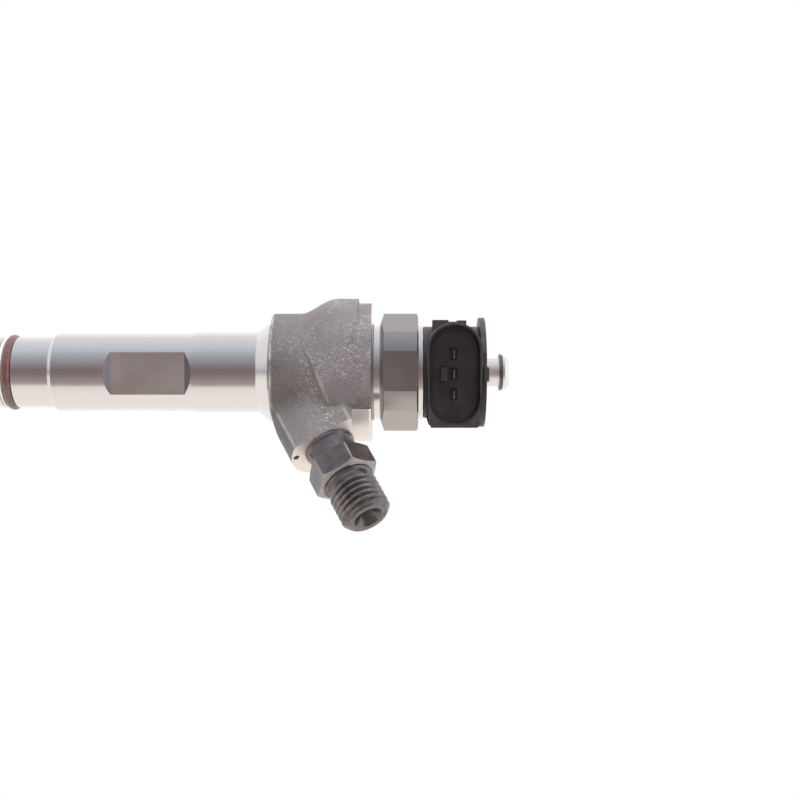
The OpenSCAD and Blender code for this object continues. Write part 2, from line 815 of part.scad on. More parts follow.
module solenoid_nut() {
    corner_r = solenoid_nut_diameter / 2;
    bore_r = spigot_r + seat_gap;
    color([0.66, 0.65, 0.64])
        rotate(-nut_turn)
            difference() {
                union() {
                    ring(nut_skirt_z, nut_skirt_r, bore_r, nut_z - nut_skirt_z + cut);
                    intersection() {
                        translate([0, 0, nut_z])
                            cylinder(d = solenoid_hex_width / cos(30), h = solenoid_nut_height,
                                     $fn = 6);
                        translate([0, 0, nut_z])
                            rotate_extrude()
                                polygon([[0, 0], [nut_skirt_r, 0], [corner_r, 1.0],
                                         [corner_r, solenoid_nut_height - 0.3],
                                         [corner_r - 0.6, solenoid_nut_height],
                                         [0, solenoid_nut_height]]);
                    }
                    translate([0, 0, nut_top_z - cut])
                        cylinder(r = nut_skirt_r - 0.1, h = nut_hub_top_z - nut_top_z + cut);
                }
                translate([0, 0, nut_skirt_z - cut])
                    cylinder(r = bore_r, h = body_top_z - nut_skirt_z + cut);
                translate([0, 0, body_top_z - 0.4])
                    cylinder(r = sleeve_flange_r + seat_gap, h = nut_lip_z - body_top_z + 0.4);
                cylinder(r = sleeve_ring_r + seat_gap, h = nut_hub_top_z + cut);
            }
}

module dust_ring() {
    color([0.10, 0.10, 0.10])
        ring(head_top_z, nut_skirt_r + 0.3, spigot_r + seat_gap, nut_skirt_z - head_top_z);
}

// ---- Connector head ----

// Outline of the shroud across its opening: round at one end and square at the other
module shroud_outline(length, width, corner) {
    half = length / 2;
    side = width / 2;
    union() {
        translate([-half + side, 0])
            circle(r = side);
        polygon([[-half + side, -side], [half - corner, -side], [half, -side + corner],
                 [half, side - corner], [half - corner, side], [-half + side, side]]);
    }
}

// Outline of the opening: round at both ends
module socket_outline() {
    side = socket_width / 2;
    reach = socket_length / 2 - side;
    union() {
        for (end = [-1, 1])
            translate([end * reach, 0])
                circle(r = side);
        square([2 * reach, socket_width], center = true);
    }
}

// Extrudes an outline drawn across the opening from y = near to y = far
module towards_connector(near, far) {
    translate([0, near, socket_z])
        rotate([90, 0, 0])
            linear_extrude(height = near - far)
                children();
}

module housing_solid() {
    rim_width = socket_width + 2 * rim_wall;
    rim_length = socket_length + 2 * rim_wall;
    union() {
        ring(stub_base_top_z, plug_r, 1, pot_z - stub_base_top_z + cut);
        translate([0, 0, pot_z])
            cylinder(r = pot_r, h = cover_z - pot_z);
        towards_connector(-2, rim_y)
            shroud_outline(rim_length, rim_width, 1.3);
        // Collar of the shroud, and the latch ramps on its round side
        translate([-12.9, rim_y + 7, pot_z + 2.1])
            cube([5, 8, 1.9]);
        translate([-12.9, rim_y + 8, pot_z + 3.9])
            cube([6, 5, 2.0]);
        translate([-12.5, rim_y + 8, pot_z + 5.8])
            cube([6, 5, 2.3]);
        translate([-12.8, rim_y + 7, pot_z + 8])
            cube([6, 8, 2.1]);
        // Shelf under the square end
        translate([9, rim_y + 5, pot_z + 1.6])
            cube([socket_length / 2 + rim_wall - 9 + 0.4, 10, 5]);
    }
}

// The rib on the opening's floor that the plug is keyed to
module keying_rib() {
    translate([-1.75, socket_floor_y - 5, socket_z - 3.1])
        cube([3.5, 5.2, 1.7]);
}

module connector_housing() {
    o_ring_z = stub_base_top_z + 1.1;
    color([0.10, 0.10, 0.10]) {
        keying_rib();
        difference() {
            housing_solid();
            towards_connector(socket_floor_y, rim_y - cut)
                socket_outline();
            for (i = [-1 : 1])
                translate([i * blade_pitch, 0, socket_z])
                    rotate([90, 0, 0]) {
                        translate([0, 0, -socket_floor_y - pocket_height])
                            linear_extrude(height = pocket_height + cut)
                                square([pocket_length, pocket_width], center = true);
                        translate([0, 0, -blade_root_y - hair])
                            linear_extrude(height = blade_root_y - socket_floor_y)
                                square([blade_width + 2 * hair, blade_thickness + 2 * hair],
                                       center = true);
                    }
            terminal_legs(hair);
            post_pair(stub_base_top_z - cut, lead_joint_z + cut + hair - stub_base_top_z,
                      post_r + seat_gap);
            translate([0, 0, stub_base_top_z - cut])
                cylinder(r = stub_neck_r + seat_gap, h = cover_z);
            translate([0, 0, cover_z - 1.5])
                cylinder(r = stub_neck_r + 1.5, h = 1.5 + cut);
            translate([0, 0, o_ring_z])
                rotate_extrude()
                    translate([plug_r - 1.3, -0.7])
                        square([2, 1.4]);
        }
    }
}

module housing_o_ring() {
    section = 1.2;
    color([0.12, 0.12, 0.12])
        o_ring(stub_base_top_z + 1.1, plug_r + seat_gap - 0.01 - section / 2, section);
}

module cover_plate() {
    color([0.12, 0.12, 0.12])
        difference() {
            union() {
                intersection() {
                    translate([0, 0, cover_z])
                        cylinder(r = cover_r, h = cover_height);
                    translate([-cover_r, -12.5, cover_z])
                        cube([2 * cover_r, 23, cover_height]);
                }
                translate([-lug_width / 2, -13.6, cover_z + 0.6])
                    cube([lug_width, 6, lug_height]);
            }
            translate([0, 0, cover_z - cut])
                cylinder(r = stub_neck_r + seat_gap, h = cover_height + 2 * cut);
        }
}

// The legs that join the blades to the coil's posts
module terminal_legs(gap) {
    leg = blade_thickness / 2 + gap;
    for (side = [-1, 1])
        translate([side * blade_pitch - 0.6 - gap, blade_root_y, lead_joint_z])
            cube([1.2 + 2 * gap, 2 * leg, socket_z + leg - lead_joint_z]);
}

module terminals() {
    color([0.75, 0.74, 0.70]) {
        for (i = [-1 : 1])
            translate([i * blade_pitch, blade_root_y, socket_z])
                rotate([90, 0, 0])
                    linear_extrude(height = blade_root_y - blade_tip_y)
                        square([blade_width, blade_thickness], center = true);
        terminal_legs(0);
    }
}

module return_stub() {
    color([0.75, 0.75, 0.76])
        difference() {
            rotate_extrude()
                polygon([[stub_bore_r, core_top_z], [stub_base_r, core_top_z],
                         [stub_base_r, stub_base_top_z], [stub_neck_r, stub_base_top_z],
                         [stub_neck_r, stub_shoulder_z], [stub_r, stub_shoulder_z],
                         [stub_r, stub_flange_z], [stub_flange_diameter / 2, stub_flange_z],
                         [stub_flange_diameter / 2, stub_flange_z + 1.2],
                         [stub_r - 0.1, stub_top_z - 0.2], [stub_r - 0.4, stub_top_z],
                         [stub_bore_r + 0.3, stub_top_z], [stub_bore_r, stub_top_z - 0.3],
                         [stub_bore_r, stub_base_top_z + 1], [1.2, stub_base_top_z + 1],
                         [1.2, stub_base_top_z - 0.9], [core_bore_r, stub_base_top_z - 0.9],
                         [core_bore_r, core_top_z]]);
            post_pair(core_top_z - cut, 2.1 + 2 * cut, post_r + seat_gap);
        }
}

module stub_seal_ring() {
    section = 1.3;
    color([0.12, 0.12, 0.12])
        o_ring(cover_z - 0.7, stub_neck_r + 0.03 + section / 2, section);
}

// ---- Inlet ----

// Cuts the thread's grooves from the crest cylinder, one V a pitch
module thread_grooves(z, length, crest_r, pitch, depth) {
    count = floor(length / pitch);
    half = pitch * 0.42;
    for (i = [0 : count - 1])
        translate([0, 0, z + (i + 0.5) * pitch])
            rotate_extrude()
                polygon([[crest_r + 0.01, -half], [crest_r - depth, -half * 0.2],
                         [crest_r - depth, half * 0.2], [crest_r + 0.01, half],
                         [crest_r + 1, half], [crest_r + 1, -half]]);
}

module inlet_fitting() {
    foot = boss_hole_floor + inlet_seal_height;
    hex_foot = boss_face + collar_length;
    undercut_foot = hex_foot + hex_length;
    thread_foot = undercut_foot + undercut_length;
    thread_length = inlet_reach - thread_foot;
    lead = min(0.65, thread_length / 3);
    mouth_depth = (mouth_r - inlet_bore_r) / tan(30);
    color([0.27, 0.27, 0.28])
        on_inlet()
            difference() {
                union() {
                    translate([0, 0, foot])
                        cylinder(r = boss_thread_r, h = boss_face - foot + 0.1);
                    translate([0, 0, boss_face - spot_face_depth])
                        cylinder(r = fitting_collar_r,
                                 h = collar_length + spot_face_depth + 0.1);
                    rotate(hex_turn)
                        hex_bar(hex_foot, inlet_hex_width,
                                inlet_hex_width / 2 / cos(30) - 0.15, hex_length, 0.6);
                    translate([0, 0, undercut_foot - 0.1])
                        cylinder(r = undercut_r, h = undercut_length + 0.2);
                    difference() {
                        translate([0, 0, thread_foot])
                            rotate_extrude()
                                polygon([[0, 0], [undercut_r, 0], [thread_r, lead],
                                         [thread_r, thread_length - lead],
                                         [thread_r - lead, thread_length], [0, thread_length]]);
                        thread_grooves(thread_foot + 0.1, thread_length - 0.5, thread_r,
                                       inlet_thread_pitch, thread_depth);
                    }
                }
                translate([0, 0, foot - cut])
                    cylinder(r = filter_r + hair, h = filter_length + 0.5 + cut, $fn = 64);
                translate([0, 0, foot])
                    cylinder(r = inlet_bore_r, h = inlet_reach, $fn = 64);
                translate([0, 0, inlet_reach - mouth_depth])
                    cylinder(r1 = inlet_bore_r, r2 = mouth_r, h = mouth_depth + hair);
            }
}

module inlet_seal_ring() {
    color([0.72, 0.45, 0.25])
        on_inlet()
            ring(boss_hole_floor, boss_thread_r - 0.3, inlet_bore_r + 0.2, inlet_seal_height);
}

module inlet_filter() {
    foot = boss_hole_floor + inlet_seal_height;
    color([0.55, 0.55, 0.57])
        on_inlet()
            difference() {
                translate([0, 0, foot + 0.1])
                    cylinder(r = filter_r, h = filter_length, $fn = 64);
                for (turn = [0 : 60 : 300])
                    rotate(turn)
                        translate([filter_r, 0, foot + (turn % 120 == 0 ? -cut : 1.6)])
                            cylinder(r = 0.35, h = filter_length - 1.5 + cut, $fn = 24);
            }
}

module channel_plug() {
    color([0.35, 0.35, 0.37])
        on_inlet()
            rotate(dimple_turn)
                translate([dimple_circle, 0, boss_face - dimple_depth])
                    cylinder(r = dimple_r - hair, h = dimple_depth - 1.1, $fn = 32);
}

sealing_washer();
nozzle_body();
nozzle_needle();
nozzle_nut();
dowel_pins();
needle_spring_seat();
nozzle_spring();
nozzle_spring_shim();
holder_body();
body_o_ring();
backup_ring();
control_piston();
valve_piece();
valve_seal_ring();
valve_clamp_nut();
valve_ball();
armature_cup();
armature_rod();
armature_plate();
armature_clip();
overtravel_spring();
armature_guide();
lift_shim();
magnet_sleeve();
magnet_o_ring();
magnet_core();
coil_bobbin();
coil_winding();
valve_spring();
valve_spring_shim();
solenoid_nut();
dust_ring();
connector_housing();
housing_o_ring();
cover_plate();
terminals();
return_stub();
stub_seal_ring();
inlet_fitting();
inlet_seal_ring();
inlet_filter();
channel_plug();
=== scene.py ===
import json
import math

import bpy
import numpy as np
from mathutils import Matrix, Vector


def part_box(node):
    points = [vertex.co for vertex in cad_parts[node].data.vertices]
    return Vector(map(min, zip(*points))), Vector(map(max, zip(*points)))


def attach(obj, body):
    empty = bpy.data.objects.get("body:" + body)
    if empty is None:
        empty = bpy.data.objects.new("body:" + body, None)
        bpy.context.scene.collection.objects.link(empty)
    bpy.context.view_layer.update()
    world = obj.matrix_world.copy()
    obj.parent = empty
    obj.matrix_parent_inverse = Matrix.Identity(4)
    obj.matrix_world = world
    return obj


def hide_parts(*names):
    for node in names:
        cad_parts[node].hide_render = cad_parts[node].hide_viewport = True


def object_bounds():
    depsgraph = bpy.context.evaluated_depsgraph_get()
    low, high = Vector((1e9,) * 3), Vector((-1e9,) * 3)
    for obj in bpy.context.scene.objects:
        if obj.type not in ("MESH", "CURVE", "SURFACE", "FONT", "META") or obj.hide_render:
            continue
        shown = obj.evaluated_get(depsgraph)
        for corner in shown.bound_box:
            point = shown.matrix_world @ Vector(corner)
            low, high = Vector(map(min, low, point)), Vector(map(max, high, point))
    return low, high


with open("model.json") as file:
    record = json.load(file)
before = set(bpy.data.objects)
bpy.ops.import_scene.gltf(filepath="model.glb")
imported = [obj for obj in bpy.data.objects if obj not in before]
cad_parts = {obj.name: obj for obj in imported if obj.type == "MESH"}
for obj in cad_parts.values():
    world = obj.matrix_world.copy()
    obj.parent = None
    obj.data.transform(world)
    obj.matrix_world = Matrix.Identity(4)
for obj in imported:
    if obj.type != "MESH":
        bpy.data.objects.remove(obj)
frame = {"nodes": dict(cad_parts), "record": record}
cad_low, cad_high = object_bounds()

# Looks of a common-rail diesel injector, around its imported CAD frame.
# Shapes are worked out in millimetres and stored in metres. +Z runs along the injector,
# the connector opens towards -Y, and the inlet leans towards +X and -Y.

MM = 0.001
TAU = 2 * math.pi


def span(node):
    """Lowest and highest z of a CAD node, in millimetres."""
    low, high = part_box(node)
    return low[2] / MM, high[2] / MM


# ---- Stations along the injector, from the frame ----

HEAD_TOP, NUT_SKIRT_FOOT = span("dust_ring")
POT_FOOT = span("solenoid_nut")[1] + 0.1
COVER_FOOT = span("cover_plate")[0]
COVER_HEIGHT = 1.4
BODY_FOOT = span("holder_body")[0]
HEAD_FOOT = HEAD_TOP - 24.8
CONE_FOOT = HEAD_FOOT - 2.7
STEP = CONE_FOOT - 50.7
LOWER_FOOT = STEP - 27.6
FLAT_FOOT = STEP + 15.1
FLAT_LENGTH = 17.95
BAND_FOOT = CONE_FOOT - 17.1
GROOVE_FOOT = STEP - 12.0

SHANK_R = 9.5
LOWER_R = 8.7
BAND_R = SHANK_R + 0.325
FLAT_HALF = 8.0
NECK_R = 14.4
SHOULDER_R = 18.1
HEAD_RING_R = 17.0

INLET_Z = HEAD_FOOT + 4.2
INLET_ELEVATION = math.radians(25.7)
INLET_AZIMUTH = math.radians(-40)
BOSS_FACE = 24.6
BOSS_R = 9.75
BOSS_FACET = 6.6
BOSS_FACET_TURN = math.radians(-77)
DIMPLE_PLACE = 8.4
DIMPLE_TURN = math.radians(-3)
INLET_END = 46.8
FITTING_TURN = math.radians(18)
FITTING_FLAT_AREA = 15  # square millimetres: only the hexagon's flats are larger


# ---- Camera ----

VIEW_TURN = math.radians(3.3)
TOWARDS = Vector((-math.sin(VIEW_TURN), -math.cos(VIEW_TURN), 0))
PICTURE_DOWN = Vector((math.cos(VIEW_TURN), -math.sin(VIEW_TURN), 0))
PICTURE_RIGHT = Vector((0, 0, 1))
CAMERA_DISTANCE = 321.8
CAMERA_Z = HEAD_TOP + 6.9
CAMERA_DROP = 6.86


def add_camera():
    data = bpy.data.cameras.new("camera")
    data.sensor_width = 36
    data.lens = 58.5
    data.clip_start, data.clip_end = 0.01, 20
    camera = bpy.data.objects.new("camera", data)
    bpy.context.scene.collection.objects.link(camera)
    place = TOWARDS * CAMERA_DISTANCE + PICTURE_DOWN * CAMERA_DROP + PICTURE_RIGHT * CAMERA_Z
    turn = Matrix((PICTURE_RIGHT, -PICTURE_DOWN, TOWARDS)).transposed()
    camera.matrix_world = Matrix.Translation(place * MM) @ turn.to_4x4()
    bpy.context.scene.camera = camera


add_camera()


# ---- Light ----

class Nodes:
    """A node tree that is written as calls: each call adds a node and returns it."""

    def __init__(self, tree):
        self.tree = tree
        tree.nodes.clear()

    def add(self, kind, inputs=(), **settings):
        node = self.tree.nodes.new(kind)
        for name, value in settings.items():
            setattr(node, name, value)
        for name, value in dict(inputs).items():
            self.put(node, name, value)
        return node

    def put(self, node, name, value):
        socket = node.inputs[name]
        if isinstance(value, bpy.types.NodeSocket):
            self.tree.links.new(value, socket)
        elif isinstance(value, bpy.types.Node):
            self.tree.links.new(value.outputs[0], socket)
        else:
            socket.default_value = value

    def math(self, operation, *values):
        return self.add("ShaderNodeMath", dict(enumerate(values)), operation=operation)

    def ramp(self, factor, stops):
        node = self.add("ShaderNodeValToRGB", {"Fac": factor})
        ramp = node.color_ramp
        while len(ramp.elements) < len(stops):
            ramp.elements.new(1)
        for element, (place, colour) in zip(ramp.elements, stops):
            element.position = place
            element.color = (*colour, 1) if len(colour) == 3 else colour
        return node

    def mix(self, factor, a, b):
        node = self.add("ShaderNodeMix", data_type="RGBA")
        self.put(node, 0, factor)
        self.put(node, 6, a)
        self.put(node, 7, b)
        return node.outputs[2]


# A graded card stands round the injector, as in a product studio: dark where the camera is,
# beige below it and bluish above it. Angles run downwards from the camera.
CARD = [
    (-135, (0.92, 0.90, 0.91)), (-104, (0.81, 0.76, 0.80)), (-72, (0.62, 0.67, 0.74)),
    (-52, (0.47, 0.48, 0.52)), (-35, (0.37, 0.36, 0.39)), (-8, (0.22, 0.175, 0.185)),
    (8, (0.24, 0.19, 0.19)), (23, (0.34, 0.28, 0.275)), (39, (0.44, 0.36, 0.35)),
    (45, (0.92, 0.84, 0.78)), (71, (0.98, 0.91, 0.85)), (135, (1.0, 0.94, 0.88)),
]
CARD_RADIUS = 700
CARD_BEYOND_NOZZLE = 1200
CARD_BEYOND_STUB = 900
CARD_PALES_FROM = 500


def set_world():
    """White where it is seen, directly or in metal, and plain light elsewhere."""
    world = bpy.data.worlds.new("studio")
    bpy.context.scene.world = world
    world.use_nodes = True
    n = Nodes(world.node_tree)
    light = n.add("ShaderNodeBackground", {"Color": (0.97, 0.97, 0.97, 1), "Strength": 1.0})
    white = n.add("ShaderNodeBackground", {"Color": (1, 1, 1, 1), "Strength": 1.0})
    path = n.add("ShaderNodeLightPath")
    seen = n.math("MAXIMUM", path.outputs["Is Camera Ray"], path.outputs["Is Glossy Ray"])
    seen = n.math("MAXIMUM", seen.outputs[0], path.outputs["Is Transmission Ray"])
    both = n.add("ShaderNodeMixShader", {0: seen.outputs[0], 1: light, 2: white})
    n.add("ShaderNodeOutputWorld", {"Surface": both})


def add_card():
    first, last = CARD[0][0], CARD[-1][0]
    steps = 60
    points, faces = [], []
    for k in range(steps + 1):
        angle = math.radians(first + (last - first) * k / steps)
        way = TOWARDS * math.cos(angle) + PICTURE_DOWN * math.sin(angle)
        for z in (CAMERA_Z - CARD_BEYOND_NOZZLE, CAMERA_Z + CARD_BEYOND_STUB):
            points.append(tuple(way * CARD_RADIUS + PICTURE_RIGHT * z))
        if k:
            faces.append([2 * k - 2, 2 * k - 1, 2 * k + 1, 2 * k])
    faces.append([2 * k for k in range(steps + 1)])
    material = bpy.data.materials.new("graded_card")
    material.use_nodes = True
    n = Nodes(material.node_tree)
    place = n.add("ShaderNodeTexCoord").outputs["Object"]
    down = n.add("ShaderNodeVectorMath", {0: place, 1: PICTURE_DOWN}, operation="DOT_PRODUCT")
    ahead = n.add("ShaderNodeVectorMath", {0: place, 1: TOWARDS}, operation="DOT_PRODUCT")
    angle = n.math("ARCTAN2", down.outputs["Value"], ahead.outputs["Value"])
    turn = n.math("MULTIPLY_ADD", angle, 180 / math.pi / (last - first), -first / (last - first))
    grade = n.ramp(turn, [((a - first) / (last - first), c) for a, c in CARD])
    height = n.add("ShaderNodeSeparateXYZ", {"Vector": place}).outputs["Z"]
    far = n.add("ShaderNodeMapRange", {
        "Value": height, "From Min": (CAMERA_Z - CARD_PALES_FROM) * MM,
        "From Max": (CAMERA_Z - CARD_BEYOND_NOZZLE) * MM, "To Min": 0.0, "To Max": 0.3})
    colour = n.mix(far.outputs["Result"], grade.outputs["Color"], (1.0, 0.97, 0.97, 1))
    glow = n.add("ShaderNodeEmission", {"Color": colour, "Strength": 1.0})
    n.add("ShaderNodeOutputMaterial", {"Surface": glow})
    card = mesh_object("graded_card", points, faces, [material])
    card.visible_camera = False
    card.visible_shadow = False


def add_lamp(name, place, size, power):
    """A soft square lamp at place in millimetres, aimed at the injector's middle."""
    data = bpy.data.lights.new(name, "AREA")
    data.size = size * MM
    data.energy = power
    lamp = bpy.data.objects.new(name, data)
    bpy.context.scene.collection.objects.link(lamp)
    lamp.location = place * MM
    lamp.rotation_mode = "QUATERNION"
    lamp.rotation_quaternion = (PICTURE_RIGHT * CAMERA_Z - place).to_track_quat("-Z", "Y")
    lamp.visible_glossy = False


set_world()
add_lamp("soft_key", TOWARDS * 200 - PICTURE_DOWN * 480 + PICTURE_RIGHT * (CAMERA_Z + 120),
         400, 6.0)
add_lamp("front_fill", TOWARDS * 600 + PICTURE_RIGHT * CAMERA_Z, 200, 1.7)
bpy.context.scene.view_settings.view_transform = "Standard"


# ---- Materials ----

class Finish:
    """A procedural material around one Principled shader."""

    def __init__(self, name, **plain):
        self.material = bpy.data.materials.new(name)
        self.material.use_nodes = True
        self.n = Nodes(self.material.node_tree)
        self.shader = self.n.add("ShaderNodeBsdfPrincipled")
        self.n.add("ShaderNodeOutputMaterial", {"Surface": self.shader})
        self.place = self.n.add("ShaderNodeTexCoord").outputs["Object"]
        for socket, value in plain.items():
            self.set(socket.replace("_", " "), value)

    def set(self, socket, value):
        if isinstance(value, tuple) and len(value) == 3 and socket == "Base Color":
            value = (*value, 1)
        self.n.put(self.shader, socket, value)

    def noise(self, scale, detail=3.0, roughness=0.5, stretch=(1, 1, 1)):
        """Noise with its grain 1/scale metres wide, stretched by axis."""
        sizes = tuple(scale * s for s in stretch)
        point = self.n.add("ShaderNodeMapping", {"Vector": self.place, "Scale": sizes})
        return self.n.add("ShaderNodeTexNoise", {"Vector": point, "Scale": 1.0, "Detail": detail,
                                                 "Roughness": roughness}).outputs["Fac"]

    def cells(self, scale):
        point = self.n.add("ShaderNodeMapping", {"Vector": self.place, "Scale": (scale,) * 3})
        cells = self.n.add("ShaderNodeTexVoronoi", {"Vector": point, "Scale": 1.0})
        return cells.outputs["Distance"]

    def between(self, factor, low, high, low_at=0.3, high_at=0.7):
        """low where factor is at most low_at, high where it is at least high_at."""
        if isinstance(low, tuple):
            return self.n.ramp(factor, [(low_at, low), (high_at, high)]).outputs["Color"]
        return self.n.add("ShaderNodeMapRange", {"Value": factor, "From Min": low_at,
                                                 "From Max": high_at, "To Min": low,
                                                 "To Max": high}).outputs["Result"]

    def mix(self, factor, a, b):
        a = (*a, 1) if isinstance(a, tuple) and len(a) == 3 else a
        b = (*b, 1) if isinstance(b, tuple) and len(b) == 3 else b
        return self.n.mix(factor, a, b)

    def bump(self, *layers):
        """Each layer is (height, depth in millimetres)."""
        normal = None
        for height, depth in layers:
            inputs = {"Height": height, "Distance": depth * MM, "Strength": 1.0}
            if normal is not None:
                inputs["Normal"] = normal
            normal = self.n.add("ShaderNodeBump", inputs).outputs["Normal"]
        self.set("Normal", normal)


RINGS = (0.002, 0.002, 1)  # stretches noise into turning marks round the z axis


def turned_steel(name, dark, light, rough, marks=0.002, grain=5200, metallic=1.0):
    """Steel turned in a lathe: fine rings, with soft stains where it has been handled."""
    f = Finish(name, Metallic=metallic, Anisotropic=0.35)
    rings = f.noise(grain, detail=2, stretch=RINGS)
    stains = f.noise(130, detail=4)
    f.set("Base Color", f.mix(f.between(stains, 0.25, 0.85), f.between(rings, dark, light),
                              light))
    f.set("Roughness", f.between(stains, rough[0], rough[1]))
    f.bump((rings, marks))
    return f.material


def forged_steel(name):
    """A shot-blasted forging: pinkish grey and pitted, paler in flecks and on its edges (rubbing
    plus a painted highlight), with painted shade on the neck below the block.
    """
    f = Finish(name, Metallic=0.5)
    tint = f.noise(70, detail=2)
    patches = f.noise(190, detail=5, roughness=0.6)
    grain = f.noise(2600, detail=4, roughness=0.7)
    pits = f.cells(1500)
    fine = f.between(f.noise(3300, detail=4, roughness=0.7), 0.0, 1.0, 0.56, 0.63)
    dashes = f.between(f.noise(1700, detail=7, roughness=0.8, stretch=(1.0, 1.0, 0.6)),
                       0.0, 1.0, 0.55, 0.61)
    flecks = f.n.math("MAXIMUM", fine, dashes)
    rubbed_here = f.between(f.noise(110, detail=5), 0.12, 0.75, 0.40, 0.62)
    up = f.n.add("ShaderNodeSeparateXYZ", {"Vector": f.place}).outputs["Z"]
    on_block = f.between(up, 0.35, 1.0, (HEAD_FOOT + 5) * MM, (HEAD_FOOT + 14) * MM)
    rubbed_here = f.n.math("MULTIPLY", rubbed_here, on_block)
    # Edges that bend sharply turn pale: partly rubbing, partly a painted highlight where they
    # catch light.
    edge_rub_and_highlight = f.n.add("ShaderNodeAttribute", attribute_name="edge_rub_and_highlight").outputs["Fac"]
    patchy_edge_rub_and_highlight = f.n.math("MULTIPLY", edge_rub_and_highlight, f.between(patches, 0.1, 0.8, 0.35, 0.6))
    pale = f.n.math("MAXIMUM", f.n.math("MULTIPLY", flecks, rubbed_here), patchy_edge_rub_and_highlight)
    ground = f.between(tint, (0.182, 0.160, 0.158), (0.208, 0.196, 0.198), 0.4, 0.6)
    ground = f.mix(f.between(patches, 0.0, 0.35), ground, (0.31, 0.285, 0.278))
    grained = f.mix(f.between(grain, 0.0, 0.45), ground, (0.115, 0.105, 0.104))
    # Painted shade: the neck under the block is darkened towards the head's foot.
    painted_shade_low = f.between(up, 0.45, 0.0, (HEAD_FOOT - 2) * MM, (HEAD_FOOT + 12) * MM)
    grained = f.mix(painted_shade_low, grained, (0.075, 0.066, 0.066))
    f.set("Base Color", f.mix(pale, grained, (0.70, 0.67, 0.66)))
    f.set("Roughness", f.between(grain, 0.42, 0.60))
    f.bump((pits, 0.05), (grain, 0.06), (patches, 0.12))
    return f.material


def phosphated_steel(name, dark, light):
    """A dark phosphate coat: brownish grey, lighter where it is rubbed."""
    f = Finish(name, Metallic=0.9)
    grain = f.noise(3200, detail=4, roughness=0.65)
    rubbed = f.noise(420, detail=4)
    ground = f.between(rubbed, dark, light)
    f.set("Base Color", f.mix(f.between(grain, 0.0, 0.4), ground, light))
    f.set("Roughness", f.between(grain, 0.24, 0.33))
    f.bump((grain, 0.006))
    return f.material


def moulded_plastic(name, colour):
    """Glass-filled nylon: nearly black, with a fine eroded grain."""
    f = Finish(name, Specular_IOR_Level=0.4)
    grain = f.noise(4200, detail=3)
    haze = f.noise(220, detail=3)
    lighter = tuple(1.5 * c + 0.006 for c in colour)
    f.set("Base Color", f.between(haze, colour, lighter))
    f.set("Roughness", f.between(haze, 0.36, 0.50))
    f.bump((grain, 0.012))
    return f.material


def rubber(name, dark, light):
    """Glossy rubber or PTFE with a faint haze."""
    f = Finish(name, Specular_IOR_Level=0.9, IOR=1.7)
    haze = f.noise(500, detail=3)
    grain = f.noise(5000, detail=2)
    f.set("Base Color", f.between(haze, dark, light))
    f.set("Roughness", f.between(haze, 0.18, 0.28))
    f.bump((grain, 0.004))
    return f.material


def drawn_metal(name, dark, light, rough):
    """Plain metal with a fine uneven sheen, for the small and hidden parts."""
    f = Finish(name, Metallic=1.0)
    haze = f.noise(900, detail=4)
    grain = f.noise(6000, detail=2)
    f.set("Base Color", f.between(haze, dark, light))
    f.set("Roughness", f.between(haze, rough - 0.06, rough + 0.08))
    f.bump((grain, 0.004))
    return f.material


def wound_wire(name):
    """Enamelled copper in close turns."""
    f = Finish(name, Metallic=0.8, Coat_Weight=0.6)
    turns = f.n.add("ShaderNodeTexWave", {"Vector": f.place, "Scale": 700.0, "Distortion": 0.4},
                    bands_direction="Z").outputs["Fac"]
    f.set("Base Color", f.between(turns, (0.16, 0.05, 0.02), (0.55, 0.22, 0.09)))
    f.set("Roughness", 0.3)
    f.bump((turns, 0.05))
    return f.material


STEEL = turned_steel("turned_steel", (0.74, 0.73, 0.73), (0.82, 0.81, 0.81), (0.12, 0.20))
SATIN = turned_steel("satin_steel", (0.88, 0.83, 0.79), (0.97, 0.92, 0.88), (0.38, 0.46), 0.004,
                     metallic=0.7)
NUT_STEEL = turned_steel("nut_steel", (0.37, 0.345, 0.335), (0.50, 0.475, 0.465), (0.28, 0.38),
                         0.004, 3800)
MILLED = turned_steel("milled_steel", (0.72, 0.68, 0.67), (0.84, 0.80, 0.79), (0.34, 0.46), 0.006)
# A dark copy of the milled steel for the sloping ends of the clamp flats: painted shade in those
# recessed ends.
MILLED_END_SHADED = turned_steel("milled_end_painted_shade", (0.20, 0.20, 0.225), (0.30, 0.30, 0.325), (0.30, 0.40),
                          0.006)
FORGED = forged_steel("forged_steel")
PHOSPHATE = phosphated_steel("phosphated_steel", (0.125, 0.111, 0.115), (0.222, 0.203, 0.208))
# A paler copy of the phosphate for the fitting's edges, thread crests, mouth face and one flat:
# partly rubbing, partly painted highlight.
RUBBED_AND_HIGHLIT_EDGE = phosphated_steel("rubbed_and_highlit_edge", (0.28, 0.255, 0.25), (0.43, 0.40, 0.39))
PLATED = turned_steel("plated_steel", (0.80, 0.78, 0.77), (0.90, 0.88, 0.87), (0.26, 0.36), 0.003,
                      metallic=0.93)
BLACK_PLASTIC = moulded_plastic("black_plastic", (0.027, 0.023, 0.024))
RED_RUBBER = rubber("red_rubber", (0.066, 0.021, 0.018), (0.115, 0.038, 0.032))
BLACK_RUBBER = rubber("black_rubber", (0.008, 0.008, 0.008), (0.02, 0.02, 0.02))
PTFE = rubber("ptfe", (0.60, 0.58, 0.55), (0.76, 0.74, 0.70))
COPPER = drawn_metal("copper", (0.55, 0.24, 0.12), (0.80, 0.42, 0.25), 0.32)
HARDENED = drawn_metal("hardened_steel", (0.30, 0.30, 0.31), (0.46, 0.46, 0.47), 0.28)
LAPPED = drawn_metal("lapped_steel", (0.60, 0.60, 0.61), (0.76, 0.76, 0.77), 0.12)
SPRING = drawn_metal("spring_steel", (0.16, 0.16, 0.17), (0.30, 0.30, 0.31), 0.30)
